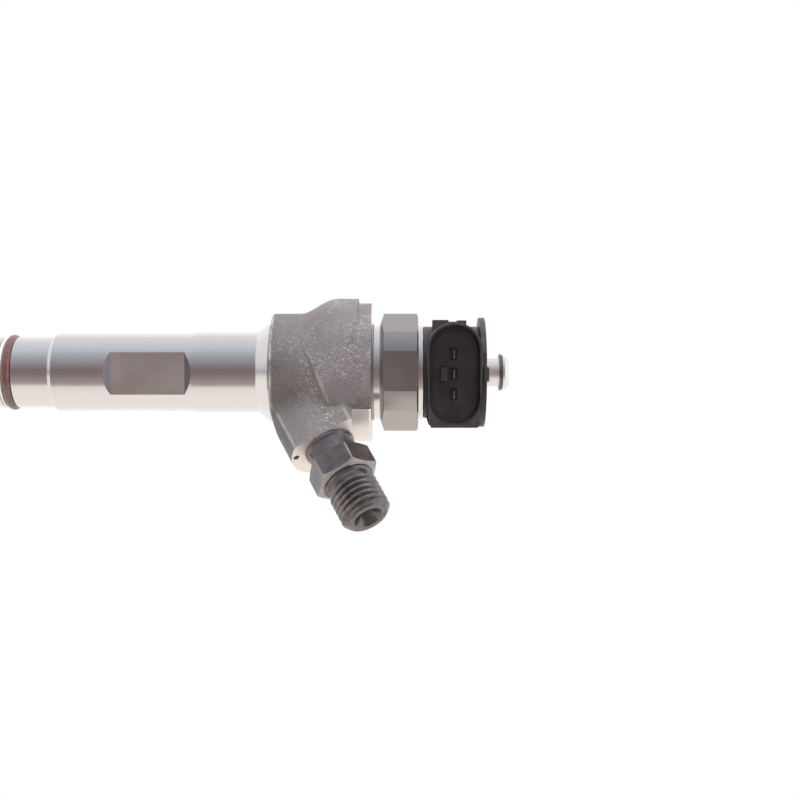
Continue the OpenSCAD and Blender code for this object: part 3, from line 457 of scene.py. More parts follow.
SOFT_IRON = drawn_metal("soft_magnetic", (0.14, 0.14, 0.15), (0.24, 0.24, 0.25), 0.45)
BRIGHT = drawn_metal("bright_steel", (0.70, 0.70, 0.71), (0.86, 0.86, 0.87), 0.16)
TINNED = drawn_metal("tinned_brass", (0.66, 0.64, 0.58), (0.84, 0.82, 0.78), 0.24)
WINDING = wound_wire("enamelled_wire")

NODE_FINISH = {
    "turned_steel": STEEL, "forged_steel": FORGED, "hardened_steel": HARDENED,
    "lapped_steel": LAPPED, "spring_steel": SPRING, "copper": COPPER, "red_rubber": RED_RUBBER,
    "black_rubber": BLACK_RUBBER, "ptfe": PTFE, "soft_magnetic": SOFT_IRON,
    "enamelled_wire": WINDING, "black_plastic": BLACK_PLASTIC, "tinned_brass": TINNED,
    "bright_steel": BRIGHT, "phosphated_steel": PHOSPHATE,
}


def finish_cad_nodes():
    slots = {s["node"]: s["material_slot"] for s in frame["record"]["subparts"]}
    for name, obj in frame["nodes"].items():
        obj.data.materials.clear()
        obj.data.materials.append(NODE_FINISH[slots[name]])


finish_cad_nodes()


# ---- Mesh tools ----

def mesh_object(name, points, faces, materials):
    """A new object from points in millimetres."""
    mesh = bpy.data.meshes.new(name)
    mesh.from_pydata((np.asarray(points, dtype=float) * MM).tolist(), [], faces)
    mesh.validate()
    obj = bpy.data.objects.new(name, mesh)
    bpy.context.scene.collection.objects.link(obj)
    for material in materials:
        mesh.materials.append(material)
    return obj


def shade(obj, angle):
    """Smooth shading led by the large faces, with edges sharper than angle kept crisp."""
    mesh = obj.data
    mesh.polygons.foreach_set("use_smooth", [True] * len(mesh.polygons))
    mesh.set_sharp_from_angle(angle=math.radians(angle))
    weighted = obj.modifiers.new("weighted", "WEIGHTED_NORMAL")
    weighted.keep_sharp = True
    weighted.weight = 100
    return obj


def rounded(outline, radius, steps=4, closed=False):
    """The outline with its corners turned into arcs, as far as its edges allow."""
    points = [np.array(p, dtype=float) for p in outline]
    result = []
    for i, here in enumerate(points):
        if not closed and i in (0, len(points) - 1):
            result.append(tuple(here))
            continue
        before, after = points[i - 1], points[(i + 1) % len(points)]
        a, b = before - here, after - here
        la, lb = np.linalg.norm(a), np.linalg.norm(b)
        bend = math.acos(max(-1, min(1, float(a @ b / (la * lb)))))
        reach = min(radius / max(math.tan(bend / 2), 1e-6), la * 0.45, lb * 0.45)
        if bend > math.radians(170) or reach < 1e-4:
            result.append(tuple(here))
            continue
        start, end = here + a / la * reach, here + b / lb * reach
        for k in range(steps + 1):
            t = k / steps
            result.append(tuple((1 - t) ** 2 * start + 2 * t * (1 - t) * here + t * t * end))
    return result


def revolve(name, outline, materials, segments, closed=False):
    """Turns an outline of (radius, z) about z. It runs upwards on the outside of the solid."""
    outline = [(max(r, 0.0), z) for r, z in outline]
    points, rows = [], []
    for r, z in outline:
        if r < 1e-6:
            rows.append([len(points)] * segments)
            points.append((0, 0, z))
        else:
            first = len(points)
            rows.append([first + k for k in range(segments)])
            for k in range(segments):
                a = TAU * k / segments
                points.append((r * math.cos(a), r * math.sin(a), z))
    if closed:
        rows.append(rows[0])
    faces = []
    for low, high in zip(rows, rows[1:]):
        for k in range(segments):
            m = (k + 1) % segments
            ring = [low[k], low[m], high[m], high[k]]
            face = [v for i, v in enumerate(ring) if v != ring[i - 1]]
            if len(face) > 2:
                faces.append(face)
    return mesh_object(name, points, faces, materials)


def cylinder(name, radius, low, high, material, segments):
    return revolve(name, [(0, low), (radius, low), (radius, high), (0, high)], [material],
                   segments)


def flat_ring(name, inner, outer, low, high, corner, material, segments=160, steps=3):
    """A ring of rectangular section with rounded corners."""
    outline = [(inner, low), (outer, low), (outer, high), (inner, high)]
    return revolve(name, rounded(outline, corner, steps, closed=True), [material], segments,
                   closed=True)


def prism(name, outline, near, far, materials):
    """An outline of (x, y) pushed from z = near to z = far."""
    count = len(outline)
    points = [(x, y, z) for z in (near, far) for x, y in outline]
    faces = [list(range(count))[::-1], list(range(count, 2 * count))]
    for k in range(count):
        m = (k + 1) % count
        faces.append([k, m, m + count, k + count])
    return mesh_object(name, points, faces, materials)


def hexagon(half_width, turn=0.0):
    """Corners of a hexagon that measures 2 * half_width across its flats."""
    corner_r = half_width / math.cos(math.pi / 6)
    return [(corner_r * math.cos(TAU * k / 6 + turn), corner_r * math.sin(TAU * k / 6 + turn))
            for k in range(6)]


def block(name, low, high, materials):
    """A box between two corners."""
    outline = [(low[0], low[1]), (high[0], low[1]), (high[0], high[1]), (low[0], high[1])]
    return prism(name, outline, low[2], high[2], materials)


def place(obj, matrix):
    """Moves an object's mesh, so that the object itself stays at the origin."""
    obj.data.transform(matrix)
    obj.data.update()
    return obj


def on_inlet(obj):
    """Takes a piece made along z to the inlet's axis."""
    turn = Matrix.Rotation(INLET_AZIMUTH, 4, "Z") @ Matrix.Rotation(
        math.pi / 2 - INLET_ELEVATION, 4, "Y")
    return place(obj, Matrix.Translation((0, 0, INLET_Z * MM)) @ turn)


def facing_front(obj):
    """Takes a piece made in x, y with z as height so that y becomes z and height becomes -Y."""
    turn = Matrix(((1, 0, 0, 0), (0, 0, -1, 0), (0, 1, 0, 0), (0, 0, 0, 1)))
    return place(obj, turn)


def settle(obj):
    """Applies an object's modifiers."""
    graph = bpy.context.evaluated_depsgraph_get()
    graph.update()
    mesh = bpy.data.meshes.new_from_object(obj.evaluated_get(graph), depsgraph=graph)
    obj.modifiers.clear()
    old = obj.data
    obj.data = mesh
    bpy.data.meshes.remove(old)
    return obj


def combine(obj, *others, operation="DIFFERENCE"):
    """Cuts others from obj, or joins or intersects them with it, and removes them."""
    for other in others:
        modifier = obj.modifiers.new("combine", "BOOLEAN")
        modifier.operation = operation
        modifier.solver = "EXACT"
        modifier.material_mode = "TRANSFER"
        modifier.object = other
        settle(obj)
        bpy.data.objects.remove(other)
    return obj


def soften(obj, width, segments=2, angle=40, finish=None):
    """Rounds the edges that are sharper than angle, in their own finish if one is given."""
    bevel = obj.modifiers.new("soften", "BEVEL")
    bevel.width = width * MM
    bevel.segments = segments
    bevel.limit_method = "ANGLE"
    bevel.angle_limit = math.radians(angle)
    bevel.use_clamp_overlap = True
    if finish is not None:
        obj.data.materials.append(finish)
        bevel.material = len(obj.data.materials) - 1
    return settle(obj)


def join(first, *others):
    """Joins objects into the first one, with their materials."""
    pieces = [first, *others]
    with bpy.context.temp_override(active_object=first, selected_editable_objects=pieces,
                                   selected_objects=pieces):
        bpy.ops.object.join()
    return first


def finish_piece(obj, node, body="injector"):
    """Puts a piece on its body, in place of a CAD node."""
    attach(obj, body)
    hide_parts(node)
    return obj


# ---- Body: the turned shank ----

def make_shank():
    """Everything that is turned below the head, with the two clamp flats."""
    thread_r, relief_r, thread_length = 7.45, 6.85, 15
    groove_r, groove_width = 7.05, 3.1
    cone_r, into_head = 12.4, 3
    outline = rounded([
        (0, BODY_FOOT), (relief_r, BODY_FOOT), (thread_r, BODY_FOOT + 0.6),
        (thread_r, BODY_FOOT + thread_length), (relief_r, BODY_FOOT + thread_length),
        (relief_r, LOWER_FOOT), (LOWER_R - 0.4, LOWER_FOOT), (LOWER_R, LOWER_FOOT + 0.4),
        (LOWER_R, GROOVE_FOOT), (groove_r, GROOVE_FOOT), (groove_r, GROOVE_FOOT + groove_width),
        (LOWER_R, GROOVE_FOOT + groove_width), (LOWER_R, STEP), (SHANK_R, STEP + 0.95),
        (SHANK_R, BAND_FOOT), (BAND_R, BAND_FOOT + 1.6), (BAND_R, CONE_FOOT - 0.4),
        (BAND_R + 0.3, CONE_FOOT), (cone_r, HEAD_FOOT), (cone_r, HEAD_FOOT + into_head),
        (0, HEAD_FOOT + into_head)], 0.08, steps=2)
    shank = revolve("shank", outline, [STEEL], segments=256)
    slope = 2.5  # how far the cutter's sloping ends reach, outwards and along
    past_shank = 12
    for side in (-1, 1):
        flat = [(FLAT_HALF, FLAT_FOOT), (FLAT_HALF + slope, FLAT_FOOT - slope),
                (FLAT_HALF + slope, FLAT_FOOT + FLAT_LENGTH + slope),
                (FLAT_HALF, FLAT_FOOT + FLAT_LENGTH)]
        outline = [(side * y, z) for y, z in flat][::side]
        cutter = prism("flat", outline, -past_shank, past_shank, [MILLED, MILLED_END_SHADED])
        # The sloping ends take the dark copy of the milled steel, as painted shade.
        for face in cutter.data.polygons:  # only the sloping ends face along the shank
            face.material_index = int(abs(face.normal.y) > 0.3)
        place(cutter, Matrix(((0, 0, 1, 0), (1, 0, 0, 0), (0, 1, 0, 0), (0, 0, 0, 1))))
        combine(shank, cutter)
    return finish_piece(shade(shank, 20), "holder_body")


make_shank()


# ---- Body: the forged head, as a smooth solid that is then machined ----

def smooth_min(a, b, k):
    """The smaller of a and b, with the corner between them blended over k millimetres."""
    h = np.maximum(k - np.abs(a - b), 0) / k
    return np.minimum(a, b) - h * h * k / 4


def smooth_max(a, b, k):
    return -smooth_min(-a, -b, k)


INLET_WAY = np.array([math.cos(INLET_ELEVATION) * math.cos(INLET_AZIMUTH),
                      math.cos(INLET_ELEVATION) * math.sin(INLET_AZIMUTH),
                      math.sin(INLET_ELEVATION)])
FACET_WAY = (math.cos(BOSS_FACET_TURN) * np.array([
    math.sin(INLET_ELEVATION) * math.cos(INLET_AZIMUTH),
    math.sin(INLET_ELEVATION) * math.sin(INLET_AZIMUTH), -math.cos(INLET_ELEVATION)])
    + math.sin(BOSS_FACET_TURN) * np.array([-math.sin(INLET_AZIMUTH),
                                            math.cos(INLET_AZIMUTH), 0]))
BLOCK_EDGE = 8.9  # the block ends this far below the axis in the picture
BLOCK_FRONT = 15.9  # and this far from the axis towards the camera
RAW_OVER = 1  # the raw forging stands this far over its machined top

# In the shapes below, r is the distance from the axis, across runs down the picture, front is
# the distance towards the camera or away from it, and up is the height over the head's foot.


def forged_neck(r, front, up):
    """The round neck, whose core widens inside the block."""
    widens_from, widens_over, widens_by = 8, 11, 2.2
    flat_front = 14.6
    rise = np.clip((up - widens_from) / widens_over, 0, 1)
    neck = smooth_max(r - (NECK_R + widens_by * rise ** 2), -up, 0.9)
    return smooth_max(neck, front - flat_front, 1.0)


def forged_block(r, across, front, up):
    """The block that swells out of the neck. Its lower left side is a slanting wall."""
    swells_from, swells_over = 6.0, 10.7
    crown_from, crown = 3, 0.013
    wall_foot, wall_slope, wall_lean = 6.7, 0.385, 0.2
    bevel_from = 7.5
    rise = np.clip((up - swells_from) / swells_over, 0, 1)
    swell = NECK_R - 0.3 + (SHOULDER_R - NECK_R + 0.35) * (1 - np.cos(math.pi * rise)) / 2
    bulge = BLOCK_FRONT - crown * np.minimum(across - crown_from, 0) ** 2
    block = smooth_max(r - swell, front - bulge, 1.8)
    wall = wall_foot + (across + 10.9) * wall_slope + (front - 13.5) * wall_lean
    block = smooth_max(block, (wall - up) * 0.93, 0.8)
    block = smooth_max(block, across - BLOCK_EDGE + (front - 13) * 0.05, 0.4)
    block = smooth_max(block, (across - bevel_from) * 0.72 + (front - BLOCK_FRONT) * 0.69, 0.3)
    corner = across + up - BLOCK_EDGE - (HEAD_TOP - HEAD_FOOT) + 0.9
    return smooth_max(block, corner * 0.71, 0.3)


def forged_boss(x, y, lift, r):
    """The inlet's boss, a cylinder with one facet. Its lift is the height over the inlet."""
    draft = 0.01
    along = x * INLET_WAY[0] + y * INLET_WAY[1] + lift * INLET_WAY[2]
    facet = x * FACET_WAY[0] + y * FACET_WAY[1] + lift * FACET_WAY[2]
    off = np.sqrt(np.maximum(r * r + lift ** 2 - along * along, 0))
    boss = smooth_max(off - (BOSS_R + 0.1 - draft * along), facet - BOSS_FACET + 0.25, 0.35)
    return smooth_max(np.maximum(boss, along - BOSS_FACE - 1.5), -along - 1, 1)


def forging(x, y, z):
    """Signed distance to the raw forging, in millimetres: negative inside."""
    r = np.hypot(x, y)
    across = x * PICTURE_DOWN.x + y * PICTURE_DOWN.y
    front = np.abs(x * TOWARDS.x + y * TOWARDS.y)
    up = z - HEAD_FOOT
    over = z - HEAD_TOP - RAW_OVER
    neck = np.maximum(forged_neck(r, front, up), over)
    block = np.maximum(forged_block(r, across, front, up), over)
    boss = forged_boss(x, y, z - INLET_Z, r)
    raw = smooth_min(smooth_min(neck, boss, 2.4), block, 0.6)
    foot = 0.25 + 0.013 * np.maximum(across - 4, 0) ** 2 - up
    return smooth_max(raw, foot, 0.9)


def surface_net(field, low, step):
    """Points and faces of the surface where a grid of signed distances is zero."""
    inside = field < 0
    corners = [(i, j, k) for i in (0, 1) for j in (0, 1) for k in (0, 1)]
    n = [s - 1 for s in field.shape]

    def shifted(grid, c):
        return grid[c[0]:c[0] + n[0], c[1]:c[1] + n[1], c[2]:c[2] + n[2]]

    total, count = np.zeros((*n, 3)), np.zeros(n)
    for axis in range(3):
        for c in corners:
            if c[axis]:
                continue
            d = tuple(v + (i == axis) for i, v in enumerate(c))
            a, b = shifted(field, c), shifted(field, d)
            crossing = (a < 0) != (b < 0)
            t = np.where(crossing, a / np.where(crossing, a - b, 1), 0)
            for i in range(3):
                total[..., i] += np.where(crossing, c[i] + (t if i == axis else 0), 0)
            count += crossing
    cells = np.argwhere(count > 0)
    index = np.full(n, -1)
    index[tuple(cells.T)] = np.arange(len(cells))
    offset = total[tuple(cells.T)] / count[tuple(cells.T)][:, None]
    points = np.array(low) + (cells + offset) * step
    faces = []
    for axis in range(3):
        u, v = (axis + 1) % 3, (axis + 2) % 3
        upper = [slice(None)] * 3
        lower = [slice(None)] * 3
        upper[axis], lower[axis] = slice(1, None), slice(None, -1)
        edges = np.argwhere(inside[tuple(lower)] != inside[tuple(upper)])
        keep = (edges[:, u] > 0) & (edges[:, v] > 0)
        keep &= (edges[:, u] < n[u]) & (edges[:, v] < n[v])
        edges = edges[keep]
        quad = []
        for du, dv in ((-1, -1), (0, -1), (0, 0), (-1, 0)):
            cell = edges.copy()
            cell[:, u] += du
            cell[:, v] += dv
            quad.append(index[tuple(cell.T)])
        quad = np.stack(quad, axis=1)
        out = inside[tuple(edges.T)]
        quad[~out] = quad[~out][:, ::-1]
        faces.append(quad)
    return points, np.concatenate(faces)


def uneven(points):
    """A slow, seeded unevenness between -1 and 1 at each point."""
    rng = np.random.default_rng(7)
    total = np.zeros(len(points))
    for wave in (9.0, 5.0, 2.6, 1.5):
        for _ in range(3):
            way = rng.normal(size=3)
            way /= np.linalg.norm(way)
            total += np.sin(points @ way * TAU / wave + rng.uniform(0, TAU)) * wave / 9
    return total / 5


def edge_bend(x, y, z):
    """How sharply the forging's surface bends outwards at each point."""
    reach = 0.35
    around = sum(forging(x + dx, y + dy, z + dz) for dx, dy, dz in (
        (reach, 0, 0), (-reach, 0, 0), (0, reach, 0), (0, -reach, 0), (0, 0, reach),
        (0, 0, -reach)))
    return (around - 6 * forging(x, y, z)) / reach ** 2


def make_forging():
    """The raw forging as a mesh that knows how sharply its edges bend, which the material pales
    as rubbing and as a painted highlight, and then machined.
    """
    step = 0.3
    unevenness = 0.07
    low = np.array([-20.0, -26.0, HEAD_FOOT - 2])
    high = np.array([29.0, 17.0, HEAD_TOP + 2.0])
    axes = [np.arange(a, b, step) for a, b in zip(low, high)]
    x, y, z = np.meshgrid(*axes, indexing="ij")
    points, faces = surface_net(forging(x, y, z), low, step)
    e = 0.05
    px, py, pz = points.T
    here = forging(px, py, pz)
    slope = np.stack([forging(px + e, py, pz) - here, forging(px, py + e, pz) - here,
                      forging(px, py, pz + e) - here], axis=1)
    slope /= np.linalg.norm(slope, axis=1)[:, None] + 1e-9
    points = points - slope * here[:, None] * 0.7
    points = points + slope * (unevenness * uneven(points))[:, None]
    head = mesh_object("forged_head", points, faces.tolist(), [FORGED])
    # Edge paling for the material: rubbing plus a painted highlight on the sharpest bends.
    edge_rub_and_highlight = head.data.attributes.new("edge_rub_and_highlight", "FLOAT", "POINT")
    edge_rub_and_highlight.data.foreach_set("value", np.clip((edge_bend(px, py, pz) - 0.5) * 0.9, 0, 1))
    machine_head(head)
    return finish_piece(shade(head, 38), "holder_body")


def beyond_block(name, material):
    """A box over everything below the block's edge in the picture."""
    box = block(name, (BLOCK_EDGE + 0.1, -40, HEAD_FOOT), (40, 40, HEAD_TOP + 9), [material])
    return place(box, Matrix.Rotation(-VIEW_TURN, 4, "Z"))


def machine_head(head):
    """Turns the ring, faces the top, and cuts the inlet's spot face."""
    notch_foot = HEAD_TOP - 3.3
    ring_foot = HEAD_TOP - 4.5
    dimple_r, dimple_depth = 0.75, 2.6
    far = 30
    top = revolve("turn_top", [(HEAD_RING_R, notch_foot), (far, notch_foot), (far, HEAD_TOP + 5),
                               (HEAD_RING_R, HEAD_TOP + 5)], [FORGED], 192, closed=True)
    combine(head, top)
    ring = revolve("turn_ring", [(HEAD_RING_R - 0.05, ring_foot), (far, ring_foot),
                                 (far, HEAD_TOP + 5), (HEAD_RING_R - 0.05, HEAD_TOP + 5)],
                   [STEEL], 192, closed=True)
    combine(ring, beyond_block("beyond", STEEL), operation="INTERSECT")
    combine(head, ring)
    combine(head, cylinder("face_top", far, HEAD_TOP, HEAD_TOP + 9, STEEL, 96))
    spot = cylinder("spot_face", BOSS_R + 1.5, BOSS_FACE, BOSS_FACE + 12, SATIN, 128)
    combine(head, on_inlet(spot))
    hole = cylinder("dimple", dimple_r, BOSS_FACE - dimple_depth, BOSS_FACE + 3, MILLED, 32)
    turn = Matrix.Rotation(DIMPLE_TURN, 4, "Z") @ Matrix.Translation((DIMPLE_PLACE * MM, 0, 0))
    combine(head, on_inlet(place(hole, turn)))


def make_head_ring():
    """The turned ring, which shows where the forging stops short of it."""
    ring_foot = HEAD_TOP - 4.6
    ring_top = HEAD_TOP - 0.03
    outline = rounded([(0, ring_foot), (HEAD_RING_R, ring_foot), (HEAD_RING_R, HEAD_TOP - 0.4),
                       (HEAD_RING_R - 0.35, ring_top), (0, ring_top)], 0.05, steps=2)
    ring = revolve("head_ring", outline, [SATIN], segments=224)
    combine(ring, beyond_block("beyond", SATIN), operation="INTERSECT")
    return finish_piece(shade(ring, 25), "holder_body")


make_forging()
make_head_ring()


# ---- Solenoid nut ----

def make_solenoid_nut():
    """The nut's hexagon with turned corners, its skirt and hub, and the bore through them."""
    foot = NUT_SKIRT_FOOT
    hex_foot = HEAD_TOP + 2.0
    height = 9.3
    half_width, corner_r, face_r = 13.7, 14.5, 11.6
    skirt_r, hub_r = 11.6, 11.5
    nut = prism("solenoid_nut_piece", hexagon(half_width), hex_foot, hex_foot + height,
                [NUT_STEEL])
    envelope = revolve("turned_corners", rounded([
        (0, hex_foot - 0.01), (face_r, hex_foot - 0.01), (corner_r, hex_foot + 1.0),
        (corner_r, hex_foot + height - 0.3), (corner_r - 0.5, hex_foot + height + 0.01),
        (0, hex_foot + height + 0.01)], 0.1, steps=2), [NUT_STEEL], 240)
    combine(nut, envelope, operation="INTERSECT")
    soften(nut, 0.12, 2, 15)
    spigot_bore, flange_bore, sleeve_bore = 10.95, 11.4, 10.45
    flange_foot, lip = HEAD_TOP + 6.5, HEAD_TOP + 8.8
    bore = revolve("nut_bore", [
        (0, foot - 1), (spigot_bore, foot - 1), (spigot_bore, flange_foot),
        (flange_bore, flange_foot), (flange_bore, lip), (sleeve_bore, lip),
        (sleeve_bore, POT_FOOT + 1), (0, POT_FOOT + 1)], [STEEL], 192)
    combine(nut, bore)
    skirt = flat_ring("skirt", spigot_bore, skirt_r, foot, hex_foot + 0.4, 0.1, STEEL, 192, 2)
    hub = flat_ring("hub", sleeve_bore, hub_r, hex_foot + height - 0.4, POT_FOOT - 0.1, 0.1,
                    STEEL, 192, 2)
    join(nut, skirt, hub)
    place(nut, Matrix.Rotation(-VIEW_TURN, 4, "Z"))
    return finish_piece(shade(nut, 12), "solenoid_nut")


make_solenoid_nut()


# ---- Inlet fitting ----

def thread_skin(name, start, end, crest, pitch, materials):
    """A right-handed thread from z = start to z = end. Its crests take the second material."""
    segments, rows_per_turn = 144, 14
    run_in, run_out = 0.9, 0.7
    depth = 0.541 * pitch
    count = int((end - start) / pitch * rows_per_turn)
    zs = np.linspace(start, end, count + 1)
    angles = np.arange(segments) * TAU / segments
    z, a = np.meshgrid(zs, angles, indexing="ij")
    phase = (z / pitch - a / TAU) % 1.0
    tooth = np.clip(2.6 * np.abs(phase - 0.5) - 0.14, 0, 1)
    r = crest - depth * (1 - tooth)
    ease_out = np.clip((end - z) / run_out, 0, 1)
    ease_in = np.clip((z - start) / run_in, 0, 1)
    root = crest - 0.78
    r = np.minimum(r, root + (crest - root) * ease_out ** 0.8)
    r = root + (r - root) * ease_in
    points = np.stack([r * np.cos(a), r * np.sin(a), z], axis=-1).reshape(-1, 3)
    faces, crests = [], []
    for i in range(count):
        for k in range(segments):
            m = (k + 1) % segments
            faces.append([i * segments + k, i * segments + m, (i + 1) * segments + m,
                          (i + 1) * segments + k])
            # Crests take the paler finish: a painted highlight along each crest.
            crests.append(int(min(r[i, k], r[i + 1, m]) > crest - 0.06))
    thread = mesh_object(name, points, faces, materials)
    thread.data.polygons.foreach_set("material_index", crests)
    return thread


def make_inlet_fitting():
    """Collar, hexagon, undercut, thread and the mouth with its sealing cone."""
    collar_end = BOSS_FACE + 5.1
    hex_end = collar_end + 6.0
    thread_start = hex_end + 1.55
    thread_end = INLET_END - 0.5
    half_width, corner_r = 7.0, 7.95
    foot_r, collar_r, neck_r = 6.15, 5.85, 5.2
    crest_r, pitch = 6.0, 1.5
    cone_r, cone_depth, drilling_r, drilling_depth = 3.5, 3.3, 1.6, 14
    fitting = prism("inlet_fitting_piece", hexagon(half_width, FITTING_TURN), collar_end, hex_end,
                    [PHOSPHATE])
    envelope = revolve("chamfer", [
        (0, collar_end - 0.01), (7.0, collar_end - 0.01), (corner_r, collar_end + 0.45),
        (corner_r, hex_end - 0.85), (6.2, hex_end + 0.01), (0, hex_end + 0.01)],
        [RUBBED_AND_HIGHLIT_EDGE], 144)
    combine(fitting, envelope, operation="INTERSECT")
    # The rounded edges take the paler finish: rubbed edges with a painted highlight.
    soften(fitting, 0.13, 2, 20, RUBBED_AND_HIGHLIT_EDGE)
    stem = revolve("stem", rounded([
        (0, BOSS_FACE - 0.4), (foot_r, BOSS_FACE - 0.4), (foot_r, BOSS_FACE + 0.8),
        (collar_r, BOSS_FACE + 1.2), (collar_r, collar_end - 0.8), (6.3, collar_end + 0.2),
        (0, collar_end + 0.2)], 0.25), [PHOSPHATE], 144)
    neck = revolve("undercut", rounded([
        (0, hex_end - 0.2), (6.0, hex_end - 0.2), (neck_r, hex_end + 0.5),
        (neck_r, thread_start + 0.1), (0, thread_start + 0.1)], 0.3), [PHOSPHATE], 144)
    thread = thread_skin("thread", thread_start, thread_end, crest_r, pitch,
                         [PHOSPHATE, RUBBED_AND_HIGHLIT_EDGE])
    mouth = revolve("mouth", rounded([
        (5.22, thread_end), (4.85, INLET_END), (cone_r, INLET_END),
        (drilling_r, INLET_END - cone_depth), (drilling_r, INLET_END - drilling_depth),
        (0, INLET_END - drilling_depth)], 0.12, steps=3), [PHOSPHATE, RUBBED_AND_HIGHLIT_EDGE], 144)
    for face in mouth.data.polygons:  # the end face outside the cone
        face.material_index = int(math.hypot(face.center.x, face.center.y) > 3.3)
    join(fitting, stem, neck, thread, mouth)
    on_inlet(fitting)
    for face in fitting.data.polygons:  # the hexagon's flat facing the nozzle takes the paler finish, a painted highlight
        if face.area > FITTING_FLAT_AREA and face.normal.z < -0.6:
            face.material_index = 1
    return finish_piece(shade(fitting, 34), "inlet_fitting")


make_inlet_fitting()


# ---- Connector, cover plate, blades and return stub ----

SOCKET_LENGTH, SOCKET_WIDTH, SOCKET_DEPTH = 23.3, 11.9, 10.0
RIM_WALL = 0.65
RIM_FRONT = 19.0
SOCKET_FLOOR = RIM_FRONT - SOCKET_DEPTH
SOCKET_Z = COVER_FOOT - 6.5
BLADE_PITCH = 4.8
STUB_WAY_R = 3.05  # the hole through the head and its cover plate


def stadium(length, width, corner):
    """A round left end, and a right end that is chamfered by corner, or round for None."""
    half, side = length / 2, width / 2
    turns = [math.pi / 2 + math.pi * k / 24 for k in range(25)]
    left = [(side - half + side * math.cos(t), side * math.sin(t)) for t in turns]
    if corner is None:
        return left + [(-x, -y) for x, y in left]
    right = rounded([(half - corner, -side), (half, corner - side), (half, side - corner),
                     (half - corner, side)], 0.3, 3, closed=True)
    return left + right


def across_socket(name, outline, near, far, x=0.0):
    """An outline drawn on the socket's face, pushed from -Y = near to -Y = far."""
    shifted = [(px + x, pz + SOCKET_Z) for px, pz in outline]
    return facing_front(prism(name, shifted, near, far, [BLACK_PLASTIC]))


def rectangle(length, width):
    return [(-length / 2, -width / 2), (length / 2, -width / 2), (length / 2, width / 2),
            (-length / 2, width / 2)]


def make_connector():
    """The plastic head: its pot, the socket, the steps on its ends and the keying rib."""
    base = span("connector_housing")[0]
    pot_r, plug_r = 11.3, 9.1
    housing = revolve("connector_piece", rounded([
        (0, base), (plug_r - 0.3, base), (plug_r, base + 0.3), (plug_r, POT_FOOT),
        (pot_r, POT_FOOT), (pot_r, COVER_FOOT), (0, COVER_FOOT)], 0.3, steps=3),
        [BLACK_PLASTIC], 128)
    rim = stadium(SOCKET_LENGTH + 2 * RIM_WALL, SOCKET_WIDTH + 2 * RIM_WALL, 1.3)
    shroud = across_socket("shroud", rim, 2, RIM_FRONT)
    soften(shroud, 0.22, 3, 50)
    steps = (((-12.9, -12, 2.1), (-7.9, -4, 4.0)), ((-12.9, -11, 3.9), (-6.9, -6, 5.9)),
             ((-12.5, -11, 5.8), (-6.5, -6, 8.1)), ((-12.8, -12, 8), (-6.8, -4, 10.1)),
             ((9, -14, 1.6), (12.7, -4, 6.6)))  # corners, with heights over the pot's foot
    ramps = []
    for (x0, y0, low), (x1, y1, high) in steps:
        ramp = block("ramp", (x0, y0, POT_FOOT + low), (x1, y1, POT_FOOT + high), [BLACK_PLASTIC])
        ramps.append(soften(ramp, 0.15))
    combine(housing, shroud, *ramps, operation="UNION")
    cavity = across_socket("cavity", stadium(SOCKET_LENGTH, SOCKET_WIDTH, None), SOCKET_FLOOR,
                           RIM_FRONT + 3)
    combine(housing, soften(cavity, 0.3, 3, 50))
    wider = 0.5
    lead_in = across_socket("lead_in", stadium(SOCKET_LENGTH + wider, SOCKET_WIDTH + wider, None),
                            RIM_FRONT - wider / 2, RIM_FRONT + 3)
    combine(housing, lead_in)
    for side in (-1, 0, 1):  # a pocket round the foot of each blade
        pocket = across_socket("pocket", rectangle(3.0, 1.9), SOCKET_FLOOR - 1.2, RIM_FRONT,
                               side * BLADE_PITCH)
        combine(housing, soften(pocket, 0.12))
    key = block("key", (-1.75, -SOCKET_FLOOR - 2.5, SOCKET_Z - 3.1),
                (1.75, -SOCKET_FLOOR + 0.2, SOCKET_Z - 1.4), [BLACK_PLASTIC])
    combine(housing, soften(key, 0.15), operation="UNION")
    bore = cylinder("stub_way", STUB_WAY_R, COVER_FOOT - 3, COVER_FOOT + 1, BLACK_PLASTIC, 64)
    combine(housing, bore)
    return finish_piece(shade(housing, 30), "connector_housing")


def make_cover():
    """The plate over the head, trimmed at the front and the back, with its lug."""
    cover_r = 13.5
    plate_top = COVER_FOOT + COVER_HEIGHT
    plate = flat_ring("cover_piece", STUB_WAY_R, cover_r, COVER_FOOT, plate_top, 0.2,
                      BLACK_PLASTIC)
    trim = block("trim", (-20, -12.5, COVER_FOOT - 1), (20, 10.5, plate_top + 1), [BLACK_PLASTIC])
    combine(plate, trim, operation="INTERSECT")
    lug = block("lug", (-1.7, -13.6, COVER_FOOT + 0.6), (1.7, -7.6, COVER_FOOT + 1.9),
                [BLACK_PLASTIC])
    combine(plate, soften(lug, 0.15), operation="UNION")
    return finish_piece(shade(plate, 30), "cover_plate")


